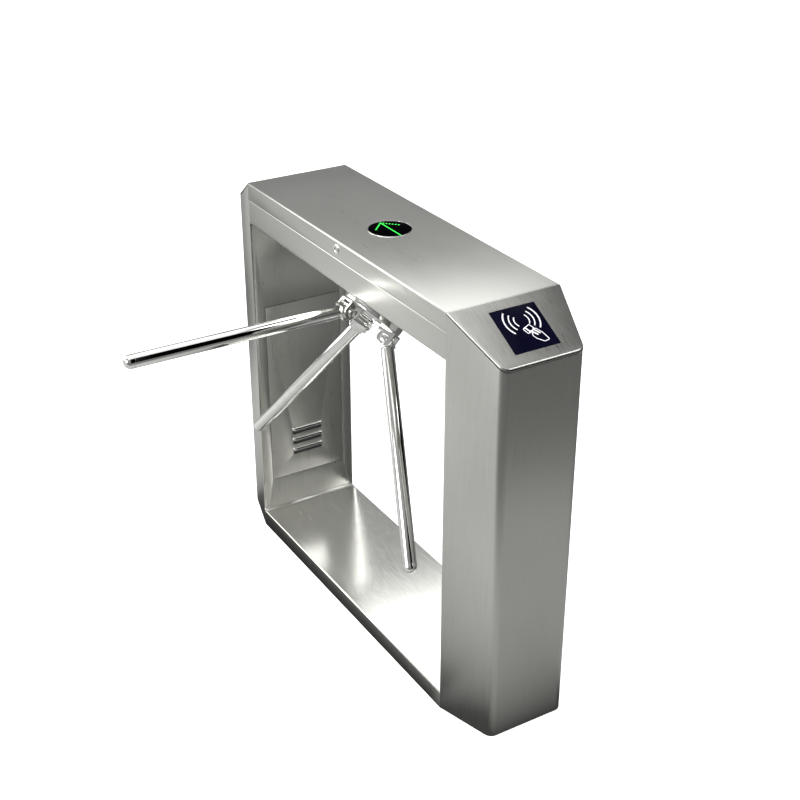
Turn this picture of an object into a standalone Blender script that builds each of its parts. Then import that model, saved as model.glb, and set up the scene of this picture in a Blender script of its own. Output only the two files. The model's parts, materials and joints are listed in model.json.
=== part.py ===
"""Visitor counter turnstile: a bridge cabinet on two legs with a three-arm tripod barrier.

Frame: origin on the floor under the middle of the cabinet, +X towards the leg with the card reader,
-Y towards the passage that the horizontal arm bars, +Z up. All sizes are metres.
"""
from math import acos, asin, atan, cos, hypot, pi, radians, sin, tan

import bmesh
import bpy
from mathutils import Matrix, Vector

# Cabinet
LENGTH = 1.200
WIDTH = 0.280
HEIGHT = 1.000
LEG_LENGTH = 0.146
LEG_END_WIDTH = 0.197
LEG_CORNER_RADIUS = 0.022
SLOPE_DROP = 0.0785
SHEET = 0.002
GAP = 0.0003
INNER_X = LENGTH / 2 - LEG_LENGTH
LEG_TAPER = (WIDTH - LEG_END_WIDTH) / 2 / LEG_LENGTH
SLOPE_ANGLE = atan(SLOPE_DROP / LEG_LENGTH)

# Beam, lid and plinth
BEAM_UNDERSIDE = 0.888
BEAM_BEND = 0.012
BEAM_FRONT_TOP = 0.956
BEAM_REAR_TOP = 0.9525
BEAM_RETURN = 0.0045
RETURN_BEND = 0.003
LID_FRONT_BOTTOM = 0.957
LID_REAR_BOTTOM = 0.960
LID_SHEET = 0.0015
LID_BEND = 0.005
PLINTH_HEIGHT = 0.045
PLINTH_BEND = 0.004
SUPPORT_WIDTH = 0.060
SUPPORT_LENGTH = 0.260
SUPPORT_WALL = 0.003
FOOT_PLATE = 0.006
ANCHOR_HOLE_RADIUS = 0.006
ANCHOR_HOLES_X = (0.030, 0.111)
ANCHOR_HOLE_Y = 0.070
CABLE_HOLE_RADIUS = 0.025

# Sloping leg caps and the card reader
CAP_THICKNESS = 0.005
CAP_OVERHANG = 0.0015
CAP_LIP_GAP = 0.0025
WINDOW = 0.110
WINDOW_THICKNESS = 0.0035
READER_SIZE = 0.100
READER_DEPTH = 0.014

# Power supply on the end wall of the reader's leg
SUPPLY_BOTTOM = 0.300
SUPPLY_TOP = 0.460
SUPPLY_HALF_WIDTH = 0.050
SUPPLY_DEPTH = 0.038
TERMINAL_HEIGHT = 0.018
TERMINAL_HALF_WIDTH = 0.040
TERMINAL_DEPTH = 0.008

# Leg doors
DOOR_HALF_WIDTH = 0.110
DOOR_BOTTOM = 0.136
DOOR_TOP = 0.656
DOOR_SEAM = 0.0009
DOOR_HINGE_X = 0.0046
DOOR_HINGE_Y = 0.104
BARREL_RADIUS = 0.003
BARREL_LENGTH = 0.028
DOOR_PIN_RADIUS = 0.0015
DOOR_PIN_REACH = 0.016
HINGE_BLOCK_HEIGHT = 0.012
HINGE_BLOCK_DEPTH = 0.010
HINGE_BLOCK_HALF = 0.007
LOUVRE_WIDTH = 0.092
LOUVRE_HEIGHT = 0.023
LOUVRE_DEPTH = 0.008
LOUVRE_LEVELS = (0.2695, 0.2385, 0.2075)

# Lid hinges and cam lock
HINGE_Y = 0.137
HINGE_Z = 0.9565
KNUCKLE_RADIUS = 0.003
HINGE_LENGTH = 0.840
KNUCKLES = 7
LEAF_LENGTH = 0.032
LID_PIN_RADIUS = 0.0012
LOCK_Z = 0.979
LOCK_FACE_RADIUS = 0.011
LOCK_BODY_RADIUS = 0.009
LOCK_PLUG_RADIUS = 0.006
LOCK_BODY_DEPTH = 0.022
LOCK_FACE_RISE = 0.0015
LOCK_PLUG_RISE = 0.0016
LOCK_PLUG_DEPTH = 0.026
KEY_SLOT_HALF = (0.0035, 0.0005)
CAM_LENGTH = 0.024
CAM_HALF_WIDTH = 0.005
CAM_HEAD_RADIUS = 0.0075
CAM_HEAD_SPAN = (radians(-48), radians(228))
CAM_LEVELS = (-0.0255, -0.0235)
STRIKER_BOTTOM = 0.925
STRIKER_JOG = 0.945
STRIKER_LIP_RISE = 0.0055
STRIKER_Y = (-0.1345, -0.1325, -0.110)
STRIKER_X = (0.013, 0.027)
LEAF_OFFSETS = ((-0.0008, 0.0012), (-0.0013, 0.0007))

# Direction indicator in the lid
LENS_RADIUS = 0.0497
BEZEL_RADIUS = 0.052
BEZEL_LEVELS = (-0.012, 0.0006)
LENS_LEVELS = (-0.0035, 0.0003)
LIGHT_BOARD_LEVELS = (-0.0095, -0.0075)

# Tripod: three arms at 45 degrees to an axis that is itself tilted 45 degrees
APEX = Vector((0.0, -0.021, 0.826))
AXIS_TILT = radians(45)
ARM_ANGLE = radians(45)
ARM_TURNS = {"a": 0.0, "b": radians(-120), "c": radians(120)}
HUB_RADIUS = 0.080
HUB_INNER = 0.018
HUB_OUTER = 0.044
HUB_RIM = 0.004
PIN_REACH = 0.094
PIN_RADIUS = 0.005
PIN_HEAD_RADIUS = 0.008
PIN_HEAD = 0.0035
EAR_RADIUS = 0.0185
EAR_INNER = 0.017
EAR_OUTER = 0.022
BRACKET_BASE = 0.005
BRACKET_INNER = 0.040
BRACKET_OUTER = 0.084
BRACKET_SHOULDER = 0.014
ARM_RADIUS = 0.016
ARM_WALL = 0.0015
ARM_ROOT_END = 0.020
ARM_TIP = 0.525
ARM_CAP_START = 0.519
SPIGOT = 0.020

# Head mechanism, measured up the tripod axis from the point where the arms meet
SHAFT_RADIUS = 0.015
SHAFT_END = 0.165
FLANGE_RADIUS = 0.024
FLANGE_THICKNESS = 0.006
BEARING_RADIUS = 0.026
BEARING_WIDTH = 0.016
BEARING_STARTS = {"lower": 0.000, "upper": 0.110}
HOUSING_RADIUS = 0.036
HOUSING_END = 0.1307
PLATE_START = 0.131
PLATE_THICKNESS = 0.005
PLATE_CORNERS = ((-0.130, -0.072), (0.130, 0.0395))
WHEEL_START = 0.141
WHEEL_WIDTH = 0.008
WHEEL_RADIUS = 0.048
WHEEL_NOTCHES = 12
NOTCH_DEPTH = 0.006
NOTCH_HALF_WIDTH = 0.0055
PAWL_PIVOT = (0.052, -0.031)
PAWL_PIVOT_RADIUS = 0.004
# Distance along X from the shaft and rise above it
PAWL_OUTLINE = (
    (0.046, -0.031), (0.048, -0.0365), (0.052, -0.038), (0.058, -0.0365), (0.064, -0.031),
    (0.064, 0.034), (0.055, 0.034), (0.055, 0.005), (0.0492, 0.0026), (0.0492, -0.0026),
    (0.053, -0.005), (0.0505, -0.020),
)
SENSOR_HALF_WIDTH = 0.010
SENSOR_Y = (-0.068, -0.050)
PLUNGER_RISE = 0.028
PLUNGER_RADIUS = 0.005
PLUNGER_TIP = 0.0643
PLUNGER_END = 0.118
SOLENOID_START = 0.084
SOLENOID_END = 0.124
SOLENOID_HALF = 0.012

# Control board in the beam: lower and upper X, Y and rise of its fittings
BOARD_X = (-0.330, -0.150)
BOARD_HALF_WIDTH = 0.060
BOARD_RISE = 0.010
TERMINAL_ROW = ((-0.325, 0.035), (-0.155, 0.055), 0.014)
RELAY_ROW = ((-0.320, -0.050), (-0.260, -0.020), 0.018)
PROCESSOR = ((-0.225, -0.030), (-0.185, 0.010), 0.006)
SPACER_RADIUS = 0.004
SPACER_INSET = 0.008

STEEL = ((0.58, 0.58, 0.55), 0.30, 1.0)
CHROME = ((0.80, 0.80, 0.80), 0.08, 1.0)
ZINC = ((0.62, 0.62, 0.60), 0.45, 1.0)
BLACK_GLASS = ((0.005, 0.005, 0.012), 0.10, 0.0)
BLACK_PLASTIC = ((0.02, 0.02, 0.02), 0.50, 0.0)
BOARD_GREEN = ((0.02, 0.16, 0.06), 0.50, 0.0)
COPPER = ((0.45, 0.20, 0.10), 0.40, 1.0)


def clear_scene():
    """Remove every object of the open file."""
    for old in list(bpy.data.objects):
        bpy.data.objects.remove(old, do_unlink=True)


def empty(name, location=(0, 0, 0), rotation=(0, 0, 0), parent=None):
    """Add a reference frame."""
    frame = bpy.data.objects.new(name, None)
    bpy.context.scene.collection.objects.link(frame)
    frame.location = location
    frame.rotation_euler = rotation
    frame.parent = parent
    return frame


def add_object(name, bm, finish, parent=None, location=(0, 0, 0), rotation=(0, 0, 0)):
    """Make an object with its own Principled material from a bmesh."""
    bmesh.ops.recalc_face_normals(bm, faces=bm.faces)
    mesh = bpy.data.meshes.new(name)
    bm.to_mesh(mesh)
    bm.free()
    mesh.shade_smooth()
    mesh.set_sharp_from_angle(angle=radians(30))
    colour, roughness, metallic = finish
    material = bpy.data.materials.new(name)
    material.use_nodes = True
    shader = material.node_tree.nodes["Principled BSDF"]
    shader.inputs["Base Color"].default_value = (*colour, 1.0)
    shader.inputs["Roughness"].default_value = roughness
    shader.inputs["Metallic"].default_value = metallic
    mesh.materials.append(material)
    thing = bpy.data.objects.new(name, mesh)
    bpy.context.scene.collection.objects.link(thing)
    thing.location = location
    thing.rotation_euler = rotation
    thing.parent = parent
    return thing


def combine(thing, tool, operation):
    """Apply a Boolean with a hidden tool object to a thing."""
    tool.hide_render = True
    tool.display_type = "WIRE"
    modifier = thing.modifiers.new(operation.lower(), "BOOLEAN")
    modifier.operation = operation
    modifier.object = tool


def arc(centre, radius, start, end, steps):
    """Points on an arc, angles in radians."""
    turns = [start + (end - start) * step / steps for step in range(steps + 1)]
    return [(centre[0] + radius * cos(turn), centre[1] + radius * sin(turn)) for turn in turns]


def circle(centre, radius, steps=24):
    """Points on a full circle."""
    return arc(centre, radius, 0.0, 2 * pi, steps)[:-1]


def rectangle(low, high):
    """Corner points of an upright rectangle."""
    return [(low[0], low[1]), (high[0], low[1]), (high[0], high[1]), (low[0], high[1])]


def round_corner(before, corner, after, radius, steps):
    """Points of the arc that rounds one corner of a path."""
    here = Vector(corner)
    back = (Vector(before) - here).normalized()
    ahead = (Vector(after) - here).normalized()
    half = acos(max(-1.0, min(1.0, back.dot(ahead)))) / 2
    centre = here + (back + ahead).normalized() * radius / sin(half)
    first = here + back * radius / tan(half) - centre
    last = here + ahead * radius / tan(half) - centre
    turn = first.angle_signed(last)
    points = []
    for step in range(steps + 1):
        spun = Matrix.Rotation(-turn * step / steps, 2) @ first
        points.append(tuple(centre + spun))
    return points


def offset_path(path, distance):
    """Shift an open path to its left by a distance, keeping its corners sharp."""
    shifted = []
    for index, point in enumerate(path):
        here = Vector(point)
        sides = []
        if index > 0:
            sides.append((here - Vector(path[index - 1])).normalized())
        if index < len(path) - 1:
            sides.append((Vector(path[index + 1]) - here).normalized())
        normals = [Vector((-side.y, side.x)) for side in sides]
        middle = sum(normals, Vector((0, 0))).normalized()
        shifted.append(tuple(here + middle * distance / middle.dot(normals[0])))
    return shifted


def rounded_path(path, radii, steps=5):
    """Round the inner corners of an open path, each by its own radius."""
    points = [tuple(path[0])]
    for before, corner, after, radius in zip(path, path[1:], path[2:], radii):
        points += round_corner(before, corner, after, radius, steps)
    points.append(tuple(path[-1]))
    return points


def bent_sheet(path, thickness, radii, steps=5):
    """Closed outline of a folded sheet whose outer side follows a path; the sheet lies on its left."""
    outer = rounded_path(path, radii, steps)
    inner = rounded_path(offset_path(path, thickness), [radius - thickness for radius in radii], steps)
    return outer + inner[::-1]


def plate(outlines, bottom, top):
    """Extrude an outline, with any further outlines as holes, from bottom to top along Z."""
    bm = bmesh.new()
    edges = []
    for outline in outlines:
        corners = [bm.verts.new((x, y, bottom)) for x, y in outline]
        edges += [bm.edges.new((corners[i - 1], corners[i])) for i in range(len(corners))]
    if len(outlines) == 1:
        bm.faces.new(corners)
    else:
        bmesh.ops.triangle_fill(bm, edges=edges, use_beauty=True)
    raised = bmesh.ops.extrude_face_region(bm, geom=bm.faces[:])
    lifted = [item for item in raised["geom"] if isinstance(item, bmesh.types.BMVert)]
    bmesh.ops.translate(bm, verts=lifted, vec=(0, 0, top - bottom))
    return bm


def box(low, high):
    """A block between two corners."""
    return plate([rectangle(low[:2], high[:2])], low[2], high[2])


def turned(profile, steps=24):
    """Turn a closed (radius, height) profile round Z; points with radius 0 lie on the axis."""
    bm = bmesh.new()
    rings = []
    for radius, height in profile:
        if radius == 0:
            rings.append([bm.verts.new((0, 0, height))] * steps)
        else:
            rings.append([bm.verts.new((x, y, height)) for x, y in circle((0, 0), radius, steps)])
    for lower, upper in zip(rings, rings[1:] + rings[:1]):
        for step in range(steps):
            corners = []
            for vert in (lower[step - 1], lower[step], upper[step], upper[step - 1]):
                if vert not in corners:
                    corners.append(vert)
            if len(corners) > 2:
                bm.faces.new(corners)
    return bm


def rod(radius, bottom, top, steps=24):
    """A solid cylinder along Z."""
    return plate([circle((0, 0), radius, steps)], bottom, top)


def merged(parts):
    """Gather several bmeshes into one, as a Boolean tool made of separate bodies."""
    bm = bmesh.new()
    for part in parts:
        mesh = bpy.data.meshes.new("part")
        part.to_mesh(mesh)
        part.free()
        bm.from_mesh(mesh)
        bpy.data.meshes.remove(mesh)
    return bm


def swapped(bm, matrix):
    """Move a bmesh by a matrix."""
    bmesh.ops.transform(bm, matrix=matrix, verts=bm.verts)
    return bm


# Maps an outline drawn in Y and Z, and its extrusion, onto world Y, Z and X.
ALONG_X = Matrix(((0, 0, 1, 0), (1, 0, 0, 0), (0, 1, 0, 0), (0, 0, 0, 1)))
# Maps an outline drawn in Z and X, and its extrusion, onto world Z, X and Y.
ALONG_Y = Matrix(((0, 1, 0, 0), (0, 0, 1, 0), (1, 0, 0, 0), (0, 0, 0, 1)))


def slope_height(x):
    """Height of the sloping top of a leg at a distance from the leg's inner face."""
    return HEIGHT - SLOPE_DROP * x / LEG_LENGTH


def set_top(bm, height_at):
    """Lift the upper vertices of an extrusion to a height that depends on x."""
    top = max(vert.co.z for vert in bm.verts)
    for vert in bm.verts:
        if vert.co.z > top - GAP:
            vert.co.z = height_at(vert.co.x)
    return bm


def leg_wall(inset, start, end, steps=6):
    """A leg's outer side in plan, set inwards, from its rear inner edge round to its front inner edge."""
    def half_width(x):
        return WIDTH / 2 - LEG_TAPER * x - inset * hypot(1.0, LEG_TAPER)

    front = [(start, -half_width(start)), (end, -half_width(end))]
    rear = [(end, half_width(end)), (start, half_width(start))]
    return rounded_path(front + rear, [LEG_CORNER_RADIUS - inset] * 2, steps)


def leg_shell(side, leg):
    """The folded outer skin of a leg."""
    outline = leg_wall(0.0, 0.0, LEG_LENGTH) + leg_wall(SHEET, 0.0, LEG_LENGTH - SHEET)[::-1]
    under_cap = CAP_THICKNESS / cos(SLOPE_ANGLE) + GAP
    wall_end = LEG_LENGTH - LEG_CORNER_RADIUS

    def top(x):
        lip = CAP_LIP_GAP if x > wall_end else 0.0
        return slope_height(x) - under_cap - lip

    add_object(f"{side}_leg_shell", set_top(plate([outline], 0.0, HEIGHT), top), STEEL, leg)


def leg_cap(side, leg, has_window):
    """The sloping lid of a leg, with an opening for the reader window on the reader's leg."""
    bm = plate([leg_wall(0.0, 0.0, LEG_LENGTH + CAP_OVERHANG)], 0.0, HEIGHT)
    depth = CAP_THICKNESS / cos(SLOPE_ANGLE)
    for vert in bm.verts:
        raised = vert.co.z > HEIGHT / 2
        vert.co.z = slope_height(vert.co.x) - (0.0 if raised else depth)
    cap = add_object(f"{side}_leg_cap", bm, STEEL, leg)
    if has_window:
        hole = WINDOW / 2 + GAP
        cutter = box((-hole, -hole, -0.02), (hole, hole, 0.02))
        combine(cap, add_object("window_opening", cutter, STEEL, slope_frame(leg)), "DIFFERENCE")


def slope_frame(leg):
    """A frame at the middle of a leg's slope, with its Z along the slope's outward normal."""
    middle = (LEG_LENGTH / 2, 0, slope_height(LEG_LENGTH / 2))
    return empty("slope_frame", middle, (0, SLOPE_ANGLE, 0), leg)


def inner_panel(side, leg):
    """The flat wall of a leg that faces the other leg, with the door opening."""
    edge = WIDTH / 2 - SHEET * (hypot(1.0, LEG_TAPER) + LEG_TAPER) - GAP
    outer = rectangle((-edge, 0.0), (edge, BEAM_UNDERSIDE - GAP))
    half = DOOR_HALF_WIDTH + DOOR_SEAM
    opening = rectangle((-half, DOOR_BOTTOM - DOOR_SEAM), (half, DOOR_TOP + DOOR_SEAM))
    bm = swapped(plate([outer, opening], 0.0, SHEET), ALONG_X)
    add_object(f"{side}_leg_inner_panel", bm, STEEL, leg)


def louvre_outline(depth, height, drop):
    """Side view of a louvre hood, in z and x: it curves out from the door and ends in a flat lower edge."""
    hood = []
    for step in range(7):
        turn = pi / 2 * step / 6
        hood.append((height / 2 - (height + drop) * (1 - cos(turn)), -depth * sin(turn)))
    return hood


def leg_door(side, leg, rear):
    """The access door of a leg with three louvres and two hinge barrels; its origin is on the hinge."""
    pivot = Vector((DOOR_HINGE_X, rear * DOOR_HINGE_Y, 0.0))
    frame = empty(f"{side}_door_axis", pivot, (0, 0, 0), leg)
    back = Matrix.Translation(-pivot)
    half = DOOR_HALF_WIDTH - DOOR_SEAM
    low, high = DOOR_BOTTOM + DOOR_SEAM, DOOR_TOP - DOOR_SEAM
    panel = swapped(plate([rectangle((-half, low), (half, high))], 0.0, SHEET), ALONG_X)
    door = add_object(f"{side}_leg_door", swapped(panel, back), STEEL, frame)

    wall = LID_SHEET
    hoods, slots = [], []
    for level in LOUVRE_LEVELS:
        place = back @ Matrix.Translation((0, 0, level)) @ ALONG_Y
        outer = louvre_outline(LOUVRE_DEPTH, LOUVRE_HEIGHT, 0.0)
        outer += [(-LOUVRE_HEIGHT / 2, SHEET / 2), (LOUVRE_HEIGHT / 2, SHEET / 2)]
        hoods.append(swapped(plate([outer], -LOUVRE_WIDTH / 2, LOUVRE_WIDTH / 2), place))
        inner = louvre_outline(LOUVRE_DEPTH - wall, LOUVRE_HEIGHT - 2 * wall, wall)
        sill = -LOUVRE_HEIGHT / 2 + 2 * wall
        bottom = inner[-1][0]
        inner += [(bottom, -GAP), (sill, -GAP), (sill, 2 * SHEET), (inner[0][0], 2 * SHEET)]
        slots.append(swapped(plate([inner], wall - LOUVRE_WIDTH / 2, LOUVRE_WIDTH / 2 - wall), place))
    for start in (low, high - BARREL_LENGTH):
        hoods.append(rod(BARREL_RADIUS, start, start + BARREL_LENGTH, 16))
        slots.append(rod(DOOR_PIN_RADIUS + GAP, start - GAP, start + BARREL_LENGTH + GAP, 12))
    combine(door, add_object(f"{side}_door_hoods", merged(hoods), STEEL, frame), "UNION")
    combine(door, add_object(f"{side}_door_slots", merged(slots), STEEL, frame), "DIFFERENCE")
    door_hinges(side, frame, rear, low, high)


def door_hinges(side, frame, rear, low, high):
    """Pivot blocks behind the inner panel, each with a pin in the end of the door's barrel."""
    behind = SHEET + GAP - DOOR_HINGE_X
    depth = behind + HINGE_BLOCK_DEPTH
    for name, edge, away in (("top", high, 1), ("bottom", low, -1)):
        near = edge + away * 2 * DOOR_SEAM
        far = near + away * HINGE_BLOCK_HEIGHT
        low_corner = (behind, -HINGE_BLOCK_HALF, min(near, far))
        block = box(low_corner, (depth, HINGE_BLOCK_HALF, max(near, far)))
        hinge = add_object(f"{side}_door_hinge_{name}", block, ZINC, frame)
        ends = sorted((edge - away * DOOR_PIN_REACH, near + away * HINGE_BLOCK_HEIGHT / 2))
        pin = add_object(f"{side}_door_pin_{name}", rod(DOOR_PIN_RADIUS, ends[0], ends[1], 12), ZINC, frame)
        combine(hinge, pin, "UNION")


def foot_plate(side, leg):
    """The anchor plate inside the bottom of a leg, with four bolt holes and a cable hole."""
    clear = SHEET + GAP
    inner = leg_wall(clear, clear, LEG_LENGTH - clear, 4)
    holes = [circle((LEG_LENGTH / 2, 0.0), CABLE_HOLE_RADIUS, 20)]
    for x in ANCHOR_HOLES_X:
        for y in (-ANCHOR_HOLE_Y, ANCHOR_HOLE_Y):
            holes.append(circle((x, y), ANCHOR_HOLE_RADIUS, 12))
    add_object(f"{side}_foot_plate", plate([inner] + holes, 0.0, FOOT_PLATE), ZINC, leg)


def legs():
    """Both legs. The far leg is the near leg turned half round, with its doors hinged at the rear."""
    for side, turn, rear in (("near", 0.0, 1), ("far", pi, -1)):
        place = (INNER_X * cos(turn), 0, 0)
        leg = empty(f"{side}_leg", place, (0, 0, turn))
        leg_shell(side, leg)
        leg_cap(side, leg, side == "near")
        inner_panel(side, leg)
        leg_door(side, leg, rear)
        foot_plate(side, leg)
        if side == "near":
            reader(leg)
            power_supply(leg)


def reader(leg):
    """Card reader: a dark window flush with the slope and the antenna module behind it."""
    frame = slope_frame(leg)
    half = WINDOW / 2 - GAP
    glass = box((-half, -half, -WINDOW_THICKNESS), (half, half, 0.0))
    add_object("reader_window", glass, BLACK_GLASS, frame)
    top = -CAP_THICKNESS - GAP
    size = READER_SIZE / 2
    body = box((-size, -size, top - READER_DEPTH), (size, size, top))
    add_object("reader_module", body, BLACK_PLASTIC, frame)


def power_supply(leg):
    """Power supply on the end wall of the reader's leg, with a raised terminal strip."""
    back = LEG_LENGTH - SHEET - GAP
    face = back - SUPPLY_DEPTH
    case = box((face, -SUPPLY_HALF_WIDTH, SUPPLY_BOTTOM), (back, SUPPLY_HALF_WIDTH, SUPPLY_TOP))
    supply = add_object("power_supply", case, ZINC, leg)
    low = (face - TERMINAL_DEPTH, -TERMINAL_HALF_WIDTH, SUPPLY_BOTTOM + SHEET)
    high = (face + TERMINAL_DEPTH, TERMINAL_HALF_WIDTH, SUPPLY_BOTTOM + TERMINAL_HEIGHT)
    combine(supply, add_object("terminal_strip", box(low, high), ZINC, leg), "UNION")


def folded_channel(name, path, bends):
    """A folded steel sheet that spans the gap between the two legs."""
    end = INNER_X - GAP
    bm = swapped(plate([bent_sheet(path, SHEET, bends)], -end, end), ALONG_X)
    return add_object(name, bm, STEEL)


def beam():
    """The beam casing, the plinth and the support under it."""
    half = WIDTH / 2
    path = [
        (BEAM_RETURN - half, BEAM_FRONT_TOP), (-half, BEAM_FRONT_TOP), (-half, BEAM_UNDERSIDE),
        (half, BEAM_UNDERSIDE), (half, BEAM_REAR_TOP),
    ]
    casing = folded_channel("beam_casing", path, (RETURN_BEND, BEAM_BEND, BEAM_BEND))
    bore = rod(HOUSING_RADIUS + 2 * GAP, 0.0, SHAFT_END, 32)
    combine(casing, add_object("housing_opening", bore, STEEL, tripod_frame()), "DIFFERENCE")
    path = [(half, 0.0), (half, PLINTH_HEIGHT), (-half, PLINTH_HEIGHT), (-half, 0.0)]
    folded_channel("plinth_cover", path, (PLINTH_BEND, PLINTH_BEND))
    top = PLINTH_HEIGHT - SHEET - GAP
    outer = rectangle((0.0, -SUPPORT_WIDTH / 2), (top, SUPPORT_WIDTH / 2))
    inner = rectangle((SUPPORT_WALL, SUPPORT_WALL - SUPPORT_WIDTH / 2),
                      (top - SUPPORT_WALL, SUPPORT_WIDTH / 2 - SUPPORT_WALL))
    tube = swapped(plate([outer, inner], -SUPPORT_LENGTH / 2, SUPPORT_LENGTH / 2), ALONG_Y)
    add_object("plinth_support", tube, ZINC)


def lid():
    """The lid, which hinges along its rear edge and carries the indicator and the lock."""
    frame = empty("lid_axis", (0, HINGE_Y, HINGE_Z))
    back = Matrix.Translation((0, -HINGE_Y, -HINGE_Z))
    half = WIDTH / 2
    path = [(half, LID_REAR_BOTTOM), (half, HEIGHT), (-half, HEIGHT), (-half, LID_FRONT_BOTTOM)]
    end = INNER_X - GAP
    outline = bent_sheet(path, LID_SHEET, (LID_BEND, LID_BEND))
    cover = swapped(plate([outline], -end, end), back @ ALONG_X)
    cover = add_object("lid", cover, STEEL, frame)
    holes = [
        swapped(rod(BEZEL_RADIUS + GAP, -0.02, 0.02, 36), back @ Matrix.Translation((0, 0, HEIGHT))),
        swapped(rod(LOCK_BODY_RADIUS + GAP, -0.01, 0.01), back @ lock_place()),
    ]
    combine(cover, add_object("lid_holes", merged(holes), STEEL, frame), "DIFFERENCE")
    indicator(frame, back)
    lock(frame, back)
    lid_hinge(frame)


def indicator(frame, back):
    """Round direction indicator: bezel ring, dark lens and the light board below it."""
    inner = LENS_RADIUS + GAP
    ring = rectangle((inner, BEZEL_LEVELS[0]), (BEZEL_RADIUS, BEZEL_LEVELS[1]))
    lens = rectangle((0, LENS_LEVELS[0]), (LENS_RADIUS, LENS_LEVELS[1]))
    board = rectangle((0, LIGHT_BOARD_LEVELS[0]), (LENS_RADIUS, LIGHT_BOARD_LEVELS[1]))
    place = back @ Matrix.Translation((0, 0, HEIGHT))
    add_object("indicator_bezel", swapped(turned(ring, 36), place), STEEL, frame)
    add_object("indicator_lens", swapped(turned(lens, 36), place), BLACK_GLASS, frame)
    add_object("indicator_board", swapped(turned(board, 24), place), BOARD_GREEN, frame)


def lock_place():
    """The lock's place: its local Z points out of the lid's front band."""
    return Matrix.Translation((0, -WIDTH / 2, LOCK_Z)) @ Matrix.Rotation(pi / 2, 4, "X")


def lock(frame, back):
    """Cam lock: the barrel in the lid's front band, and the plug that turns in it with its cam."""
    bore = LOCK_PLUG_RADIUS + GAP
    face = LOCK_FACE_RADIUS
    barrel = [
        (bore, -LOCK_BODY_DEPTH), (LOCK_BODY_RADIUS, -LOCK_BODY_DEPTH), (LOCK_BODY_RADIUS, GAP),
        (face, GAP), (face, LOCK_FACE_RISE), (bore, LOCK_FACE_RISE + GAP),
    ]
    add_object("lock_barrel", swapped(turned(barrel), back @ lock_place()), CHROME, frame)
    turn = empty("lock_axis", (back @ lock_place()).translation, (pi / 2, 0, 0), frame)
    plug = rod(LOCK_PLUG_RADIUS, -LOCK_PLUG_DEPTH, LOCK_PLUG_RISE)
    plug = add_object("lock_plug", plug, CHROME, turn)
    cam = plate([rounded_cam()], CAM_LEVELS[0], CAM_LEVELS[1])
    combine(plug, add_object("lock_cam", cam, ZINC, turn), "UNION")
    across, thick = KEY_SLOT_HALF
    key = box((-across, -thick, 0.0), (across, thick, LOCK_PLUG_RADIUS))
    combine(plug, add_object("key_slot", key, ZINC, turn), "DIFFERENCE")
    striker()


def rounded_cam():
    """Outline of the cam, which hangs down from the plug."""
    tip = arc((0.0, CAM_HALF_WIDTH - CAM_LENGTH), CAM_HALF_WIDTH, -pi, 0.0, 8)
    return tip + arc((0.0, 0.0), CAM_HEAD_RADIUS, CAM_HEAD_SPAN[0], CAM_HEAD_SPAN[1], 14)


def striker():
    """Bracket inside the beam's front wall whose lip the cam turns under."""
    wall = -WIDTH / 2 + SHEET + GAP
    lip = LOCK_Z + STRIKER_LIP_RISE
    outer, inner, end = STRIKER_Y
    outline = [
        (wall, STRIKER_BOTTOM), (inner, STRIKER_BOTTOM), (inner, lip), (end, lip),
        (end, lip + SHEET), (outer, lip + SHEET), (outer, STRIKER_JOG), (wall, STRIKER_JOG),
    ]
    add_object("lock_striker", swapped(plate([outline], STRIKER_X[0], STRIKER_X[1]), ALONG_X), ZINC)


def leaf_outline(low, high, reach):
    """End view of a hinge leaf that runs up from its knuckle, in Y and Z about the hinge axis."""
    start = acos(low / KNUCKLE_RADIUS)
    stop = 2 * pi + acos(high / KNUCKLE_RADIUS)
    knuckle = arc((0, 0), KNUCKLE_RADIUS, start, stop, 14)
    return knuckle + [(high, reach), (low, reach)]


def lid_hinge(frame):
    """Continuous hinge: a leaf on the beam's rear wall, a leaf on the lid, and the pin through both."""
    half = HINGE_LENGTH / 2
    wide = 4 * KNUCKLE_RADIUS
    clear = KNUCKLE_RADIUS + GAP
    pitch = HINGE_LENGTH / KNUCKLES
    place = (0, HINGE_Y, HINGE_Z)
    bore = circle((0, 0), LID_PIN_RADIUS + GAP, 12)
    rising, falling = LEAF_OFFSETS
    upright = leaf_outline(rising[0], rising[1], LEAF_LENGTH)
    hanging = [(y, -z) for y, z in leaf_outline(falling[0], falling[1], LEAF_LENGTH)]
    moving = swapped(plate([upright, bore], -half, half), ALONG_X)
    moving = add_object("lid_hinge_moving_leaf", moving, ZINC, frame)
    fixed = swapped(plate([hanging, bore], -half, half), ALONG_X)
    fixed = add_object("lid_hinge_fixed_leaf", fixed, ZINC, None, place)
    moving_cuts, fixed_cuts = [], []
    for knuckle in range(KNUCKLES):
        start = knuckle * pitch - half - GAP
        end = start + pitch + 2 * GAP
        if knuckle % 2:
            fixed_cuts.append(box((start, -wide, -clear), (end, wide, wide)))
        else:
            moving_cuts.append(box((start, -wide, -wide), (end, wide, clear)))
    combine(moving, add_object("moving_leaf_cuts", merged(moving_cuts), ZINC, frame), "DIFFERENCE")
    combine(fixed, add_object("fixed_leaf_cuts", merged(fixed_cuts), ZINC, None, place), "DIFFERENCE")
    pin = swapped(rod(LID_PIN_RADIUS, -half, half, 12), ALONG_X)
    add_object("lid_hinge_pin", pin, CHROME, None, place)


def tripod_frame():
    """The tripod's frame: Z runs up its axis into the beam, and arm a leans towards -Y."""
    return empty("tripod_axis", APEX, (-AXIS_TILT, 0, 0))


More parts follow.
